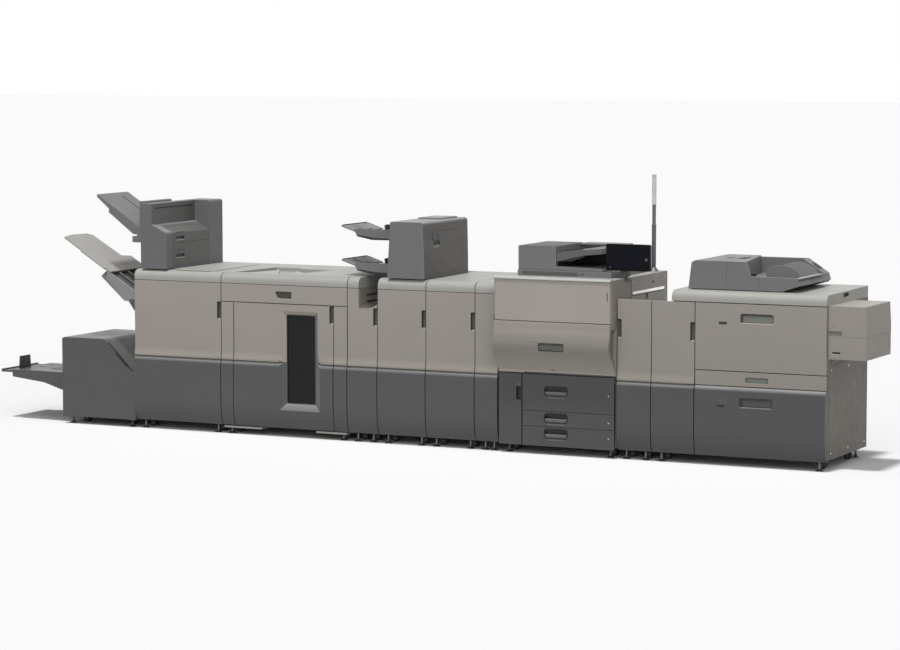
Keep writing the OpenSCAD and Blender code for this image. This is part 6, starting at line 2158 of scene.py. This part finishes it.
@dataclass
class Undercarriage:
    """Levelling feet and twin casters under every cabinet."""

    edges: tuple[Pair, ...] = ((0, 631), (631, 1518), (1518, 1724), (1724, 2051), (2051, 2378), (2378, 2536),
                               (2536, 3290), (3290, 3511), (3511, 4574))
    trimmer: Pair = (-545.3, -0.3)
    foot_in: float = 50
    pad_r: float = 24
    wheel_r: float = 22

    def build(self) -> None:
        """Builds the feet and the casters, as one piece each."""
        feet, wheels = Form("levelling_feet_dressed"), Form("casters_dressed")
        for left, right in self.edges:
            for x in (left + self.foot_in, right - self.foot_in):
                for y in (45, DEPTH - 45):
                    self.foot(feet, x, y, CARCASS_Z)
            if right - left > 4 * self.foot_in:
                for x in (left + self.foot_in * 1.1, right - self.foot_in * 1.3):
                    for y in (140, DEPTH - 140):
                        self.caster(wheels, x, y, CARCASS_Z)
        left, right = self.trimmer
        for x in (left + self.foot_in, right - self.foot_in):
            for y in (45, 546):
                self.foot(feet, x, y, 48)
        for x in (left + 2 * self.foot_in, right - 2 * self.foot_in):
            for y in (140, 451):
                self.caster(wheels, x, y, 48)
        feet.complete(LINE, Slot.FOOT, "levelling_feet")
        wheels.complete(LINE, Slot.CASTER, "casters")

    def foot(self, form: Form, x: float, y: float, top: float) -> None:
        """Adds a foot: a stepped pad, a nut, a threaded stem and its lock nut.

        Args:
            form: the piece that it adds to.
            x: place of its middle along the line.
            y: place of its middle across the line.
            top: height of the cabinet's underside.
        """
        pad = [(0, 0.3), (self.pad_r - 1, 0.3), (self.pad_r, 1.4), (self.pad_r, 4), (16, 7), (11, 12.5),
               (7.2, 13.5), (7.2, 16), (0, 16)]
        form.lathe(pad, (x, y, 0), FOOT_METAL, steps=20)
        form.rod((x, y, 14), 11, 7, FOOT_METAL, steps=6, edge=0.6)
        thread = [(0, 0)]
        for i in range(8):
            z = i * (top - 24) / 8
            thread += [(6.2, z + 0.2), (7, z + 1.8)]
        form.lathe([*thread, (6.2, top - 22), (0, top - 22)], (x, y, 21), FOOT_METAL, steps=12)
        form.rod((x, y, top - 9), 12, 8.6, FOOT_METAL, steps=6, edge=0.6)

    def caster(self, form: Form, x: float, y: float, top: float) -> None:
        """Adds a twin caster: two tyred wheels, hub caps, an axle, a hood and its swivel plate.

        Args:
            form: the piece that it adds to.
            x: place of its middle along the line.
            y: place of its middle across the line.
            top: height of the cabinet's underside.
        """
        r = min(self.wheel_r, top / 2 - 2)
        tyre = [(4, 0), (r - 4, 0), (r - 1.2, 1), (r, 3.5), (r, 12.5), (r - 1.2, 15), (r - 4, 16), (4, 16)]
        for side in (-1, 1):
            form.lathe(tyre, (x, y + side * 4.6, r + 0.8), TREAD, (0, side, 0), 24)
            form.lathe([(0, 2.4), (6, 2.2), (11, 0), (0, 0)], (x, y + side * 20.4, r + 0.8), HUB,
                       (0, side, 0), 20)
        form.rod((x, y - 21, r + 0.8), 3.4, 42, STEEL, REARWARD, 10)
        hood = [(x - r * 0.8, r + 6), (x + r * 0.5, r + 2), (x + r * 0.9, top - 8), (x + r * 0.5, top - 5),
                (x - r * 0.6, top - 5), (x - r * 0.95, top - 12)]
        form.prism(hood, Axis.Y, y - 4.2, y + 4.2, SOFT_BLACK, 1)
        form.lathe([(0, 0), (14, 0), (16, 1.5), (16, 5), (0, 5)], (x, y, top - 5.2), STEEL, steps=20)


# Camera, floor and light


def seen_share(tree: bpy.types.NodeTree) -> bpy.types.NodeSocket:
    """A share that is 1 for camera, glossy and transmission rays and 0 for the others.

    Args:
        tree: the node tree that it goes into.

    Returns:
        The socket of the share.
    """
    path = tree.nodes.new("ShaderNodeLightPath")
    share = path.outputs["Is Camera Ray"]
    for ray in ("Is Glossy Ray", "Is Transmission Ray"):
        larger = tree.nodes.new("ShaderNodeMath")
        larger.operation = "MAXIMUM"
        tree.links.new(share, larger.inputs[0])
        tree.links.new(path.outputs[ray], larger.inputs[1])
        share = larger.outputs[0]
    return share


@dataclass
class Studio:
    """A white studio, seen from the line's front right."""

    place: Triple = (8.28519567, -16.48872649, 2.46520626)
    yaw: float = 26.204247
    pitch: float = 5.466936
    roll: float = -0.064277
    lens: float = 121.1195
    floor_half: float = 90
    bounce: float = 0.3
    ambient: float = 0.15
    key: float = 1.95
    fill: float = 1.3

    def build(self) -> None:
        """Sets up the view, the camera, the floor, the world and the lamps."""
        bpy.context.scene.view_settings.view_transform = "Standard"
        self.build_camera()
        self.build_floor()
        self.build_world()
        self.add_sun("key_light", (-0.05, -0.25, 0.967), self.key, 6)
        self.add_sun("fill_light", (0.4, -0.77, 0.5), self.fill, 70)

    def build_camera(self) -> None:
        """Adds the camera."""
        data = bpy.data.cameras.new("camera")
        data.lens, data.sensor_width, data.clip_end = self.lens, 36, 400
        camera = bpy.data.objects.new("camera", data)
        turn = Matrix.Identity(4)
        for angle, axis in ((self.yaw, "Z"), (90 - self.pitch, "X"), (self.roll, "Z")):
            turn = turn @ Matrix.Rotation(math.radians(angle), 4, axis)
        camera.matrix_world = Matrix.Translation(self.place) @ turn
        bpy.context.scene.collection.objects.link(camera)
        bpy.context.scene.camera = camera

    def build_floor(self) -> None:
        """Adds the floor, which the camera sees as white and the object as grey."""
        shape = bmesh.new()
        bmesh.ops.create_grid(shape, x_segments=1, y_segments=1, size=self.floor_half)
        data = bpy.data.meshes.new("studio_floor")
        shape.to_mesh(data)
        shape.free()
        material = bpy.data.materials.new("studio_floor")
        material.use_nodes = True
        tree = material.node_tree
        tree.nodes.clear()
        out = tree.nodes.new("ShaderNodeOutputMaterial")
        skin = tree.nodes.new("ShaderNodeBsdfDiffuse")
        mix = tree.nodes.new("ShaderNodeMix")
        mix.data_type = "RGBA"
        mix.inputs[6].default_value = (self.bounce, self.bounce, self.bounce, 1)
        mix.inputs[7].default_value = (1, 1, 1, 1)
        tree.links.new(seen_share(tree), mix.inputs[0])
        tree.links.new(mix.outputs[2], skin.inputs["Color"])
        tree.links.new(skin.outputs[0], out.inputs["Surface"])
        data.materials.append(material)
        floor = bpy.data.objects.new("studio_floor", data)
        bpy.context.scene.collection.objects.link(floor)

    def build_world(self) -> None:
        """Gives the world a white that only the camera and reflections see in full."""
        world = bpy.data.worlds.new("studio_world")
        world.use_nodes = True
        tree = world.node_tree
        background = tree.nodes["Background"]
        background.inputs["Color"].default_value = (1, 1, 1, 1)
        strength = tree.nodes.new("ShaderNodeMapRange")
        strength.inputs["To Min"].default_value = self.ambient
        strength.inputs["To Max"].default_value = 1
        tree.links.new(seen_share(tree), strength.inputs["Value"])
        tree.links.new(strength.outputs[0], background.inputs["Strength"])
        bpy.context.scene.world = world

    @staticmethod
    def add_sun(name: str, towards: Triple, energy: float, spread: float) -> None:
        """Adds a sun lamp.

        Args:
            name: its name.
            towards: direction from the object to the lamp.
            energy: its strength.
            spread: its apparent size in degrees.
        """
        data = bpy.data.lights.new(name, "SUN")
        data.energy, data.angle = energy, math.radians(spread)
        lamp = bpy.data.objects.new(name, data)
        lamp.matrix_world = Vector(towards).to_track_quat("Z", "Y").to_matrix().to_4x4()
        bpy.context.scene.collection.objects.link(lamp)


def main() -> None:
    """Builds the studio and the line, from the left to the right."""
    logging.basicConfig(level=logging.INFO, format="%(name)s: %(message)s")
    Studio().build()
    for unit in (Trimmer(), Finisher(), Stacker(), CabinetRow(), Lids(), Interposer(), Engine(),
                 DocumentFeeder(), OperationPanel(), SignalTower(), LargeFeeder(), TopFeeder(),
                 BypassFeeder(), Undercarriage()):
        unit.build()


if __name__ == "__main__":
    main()
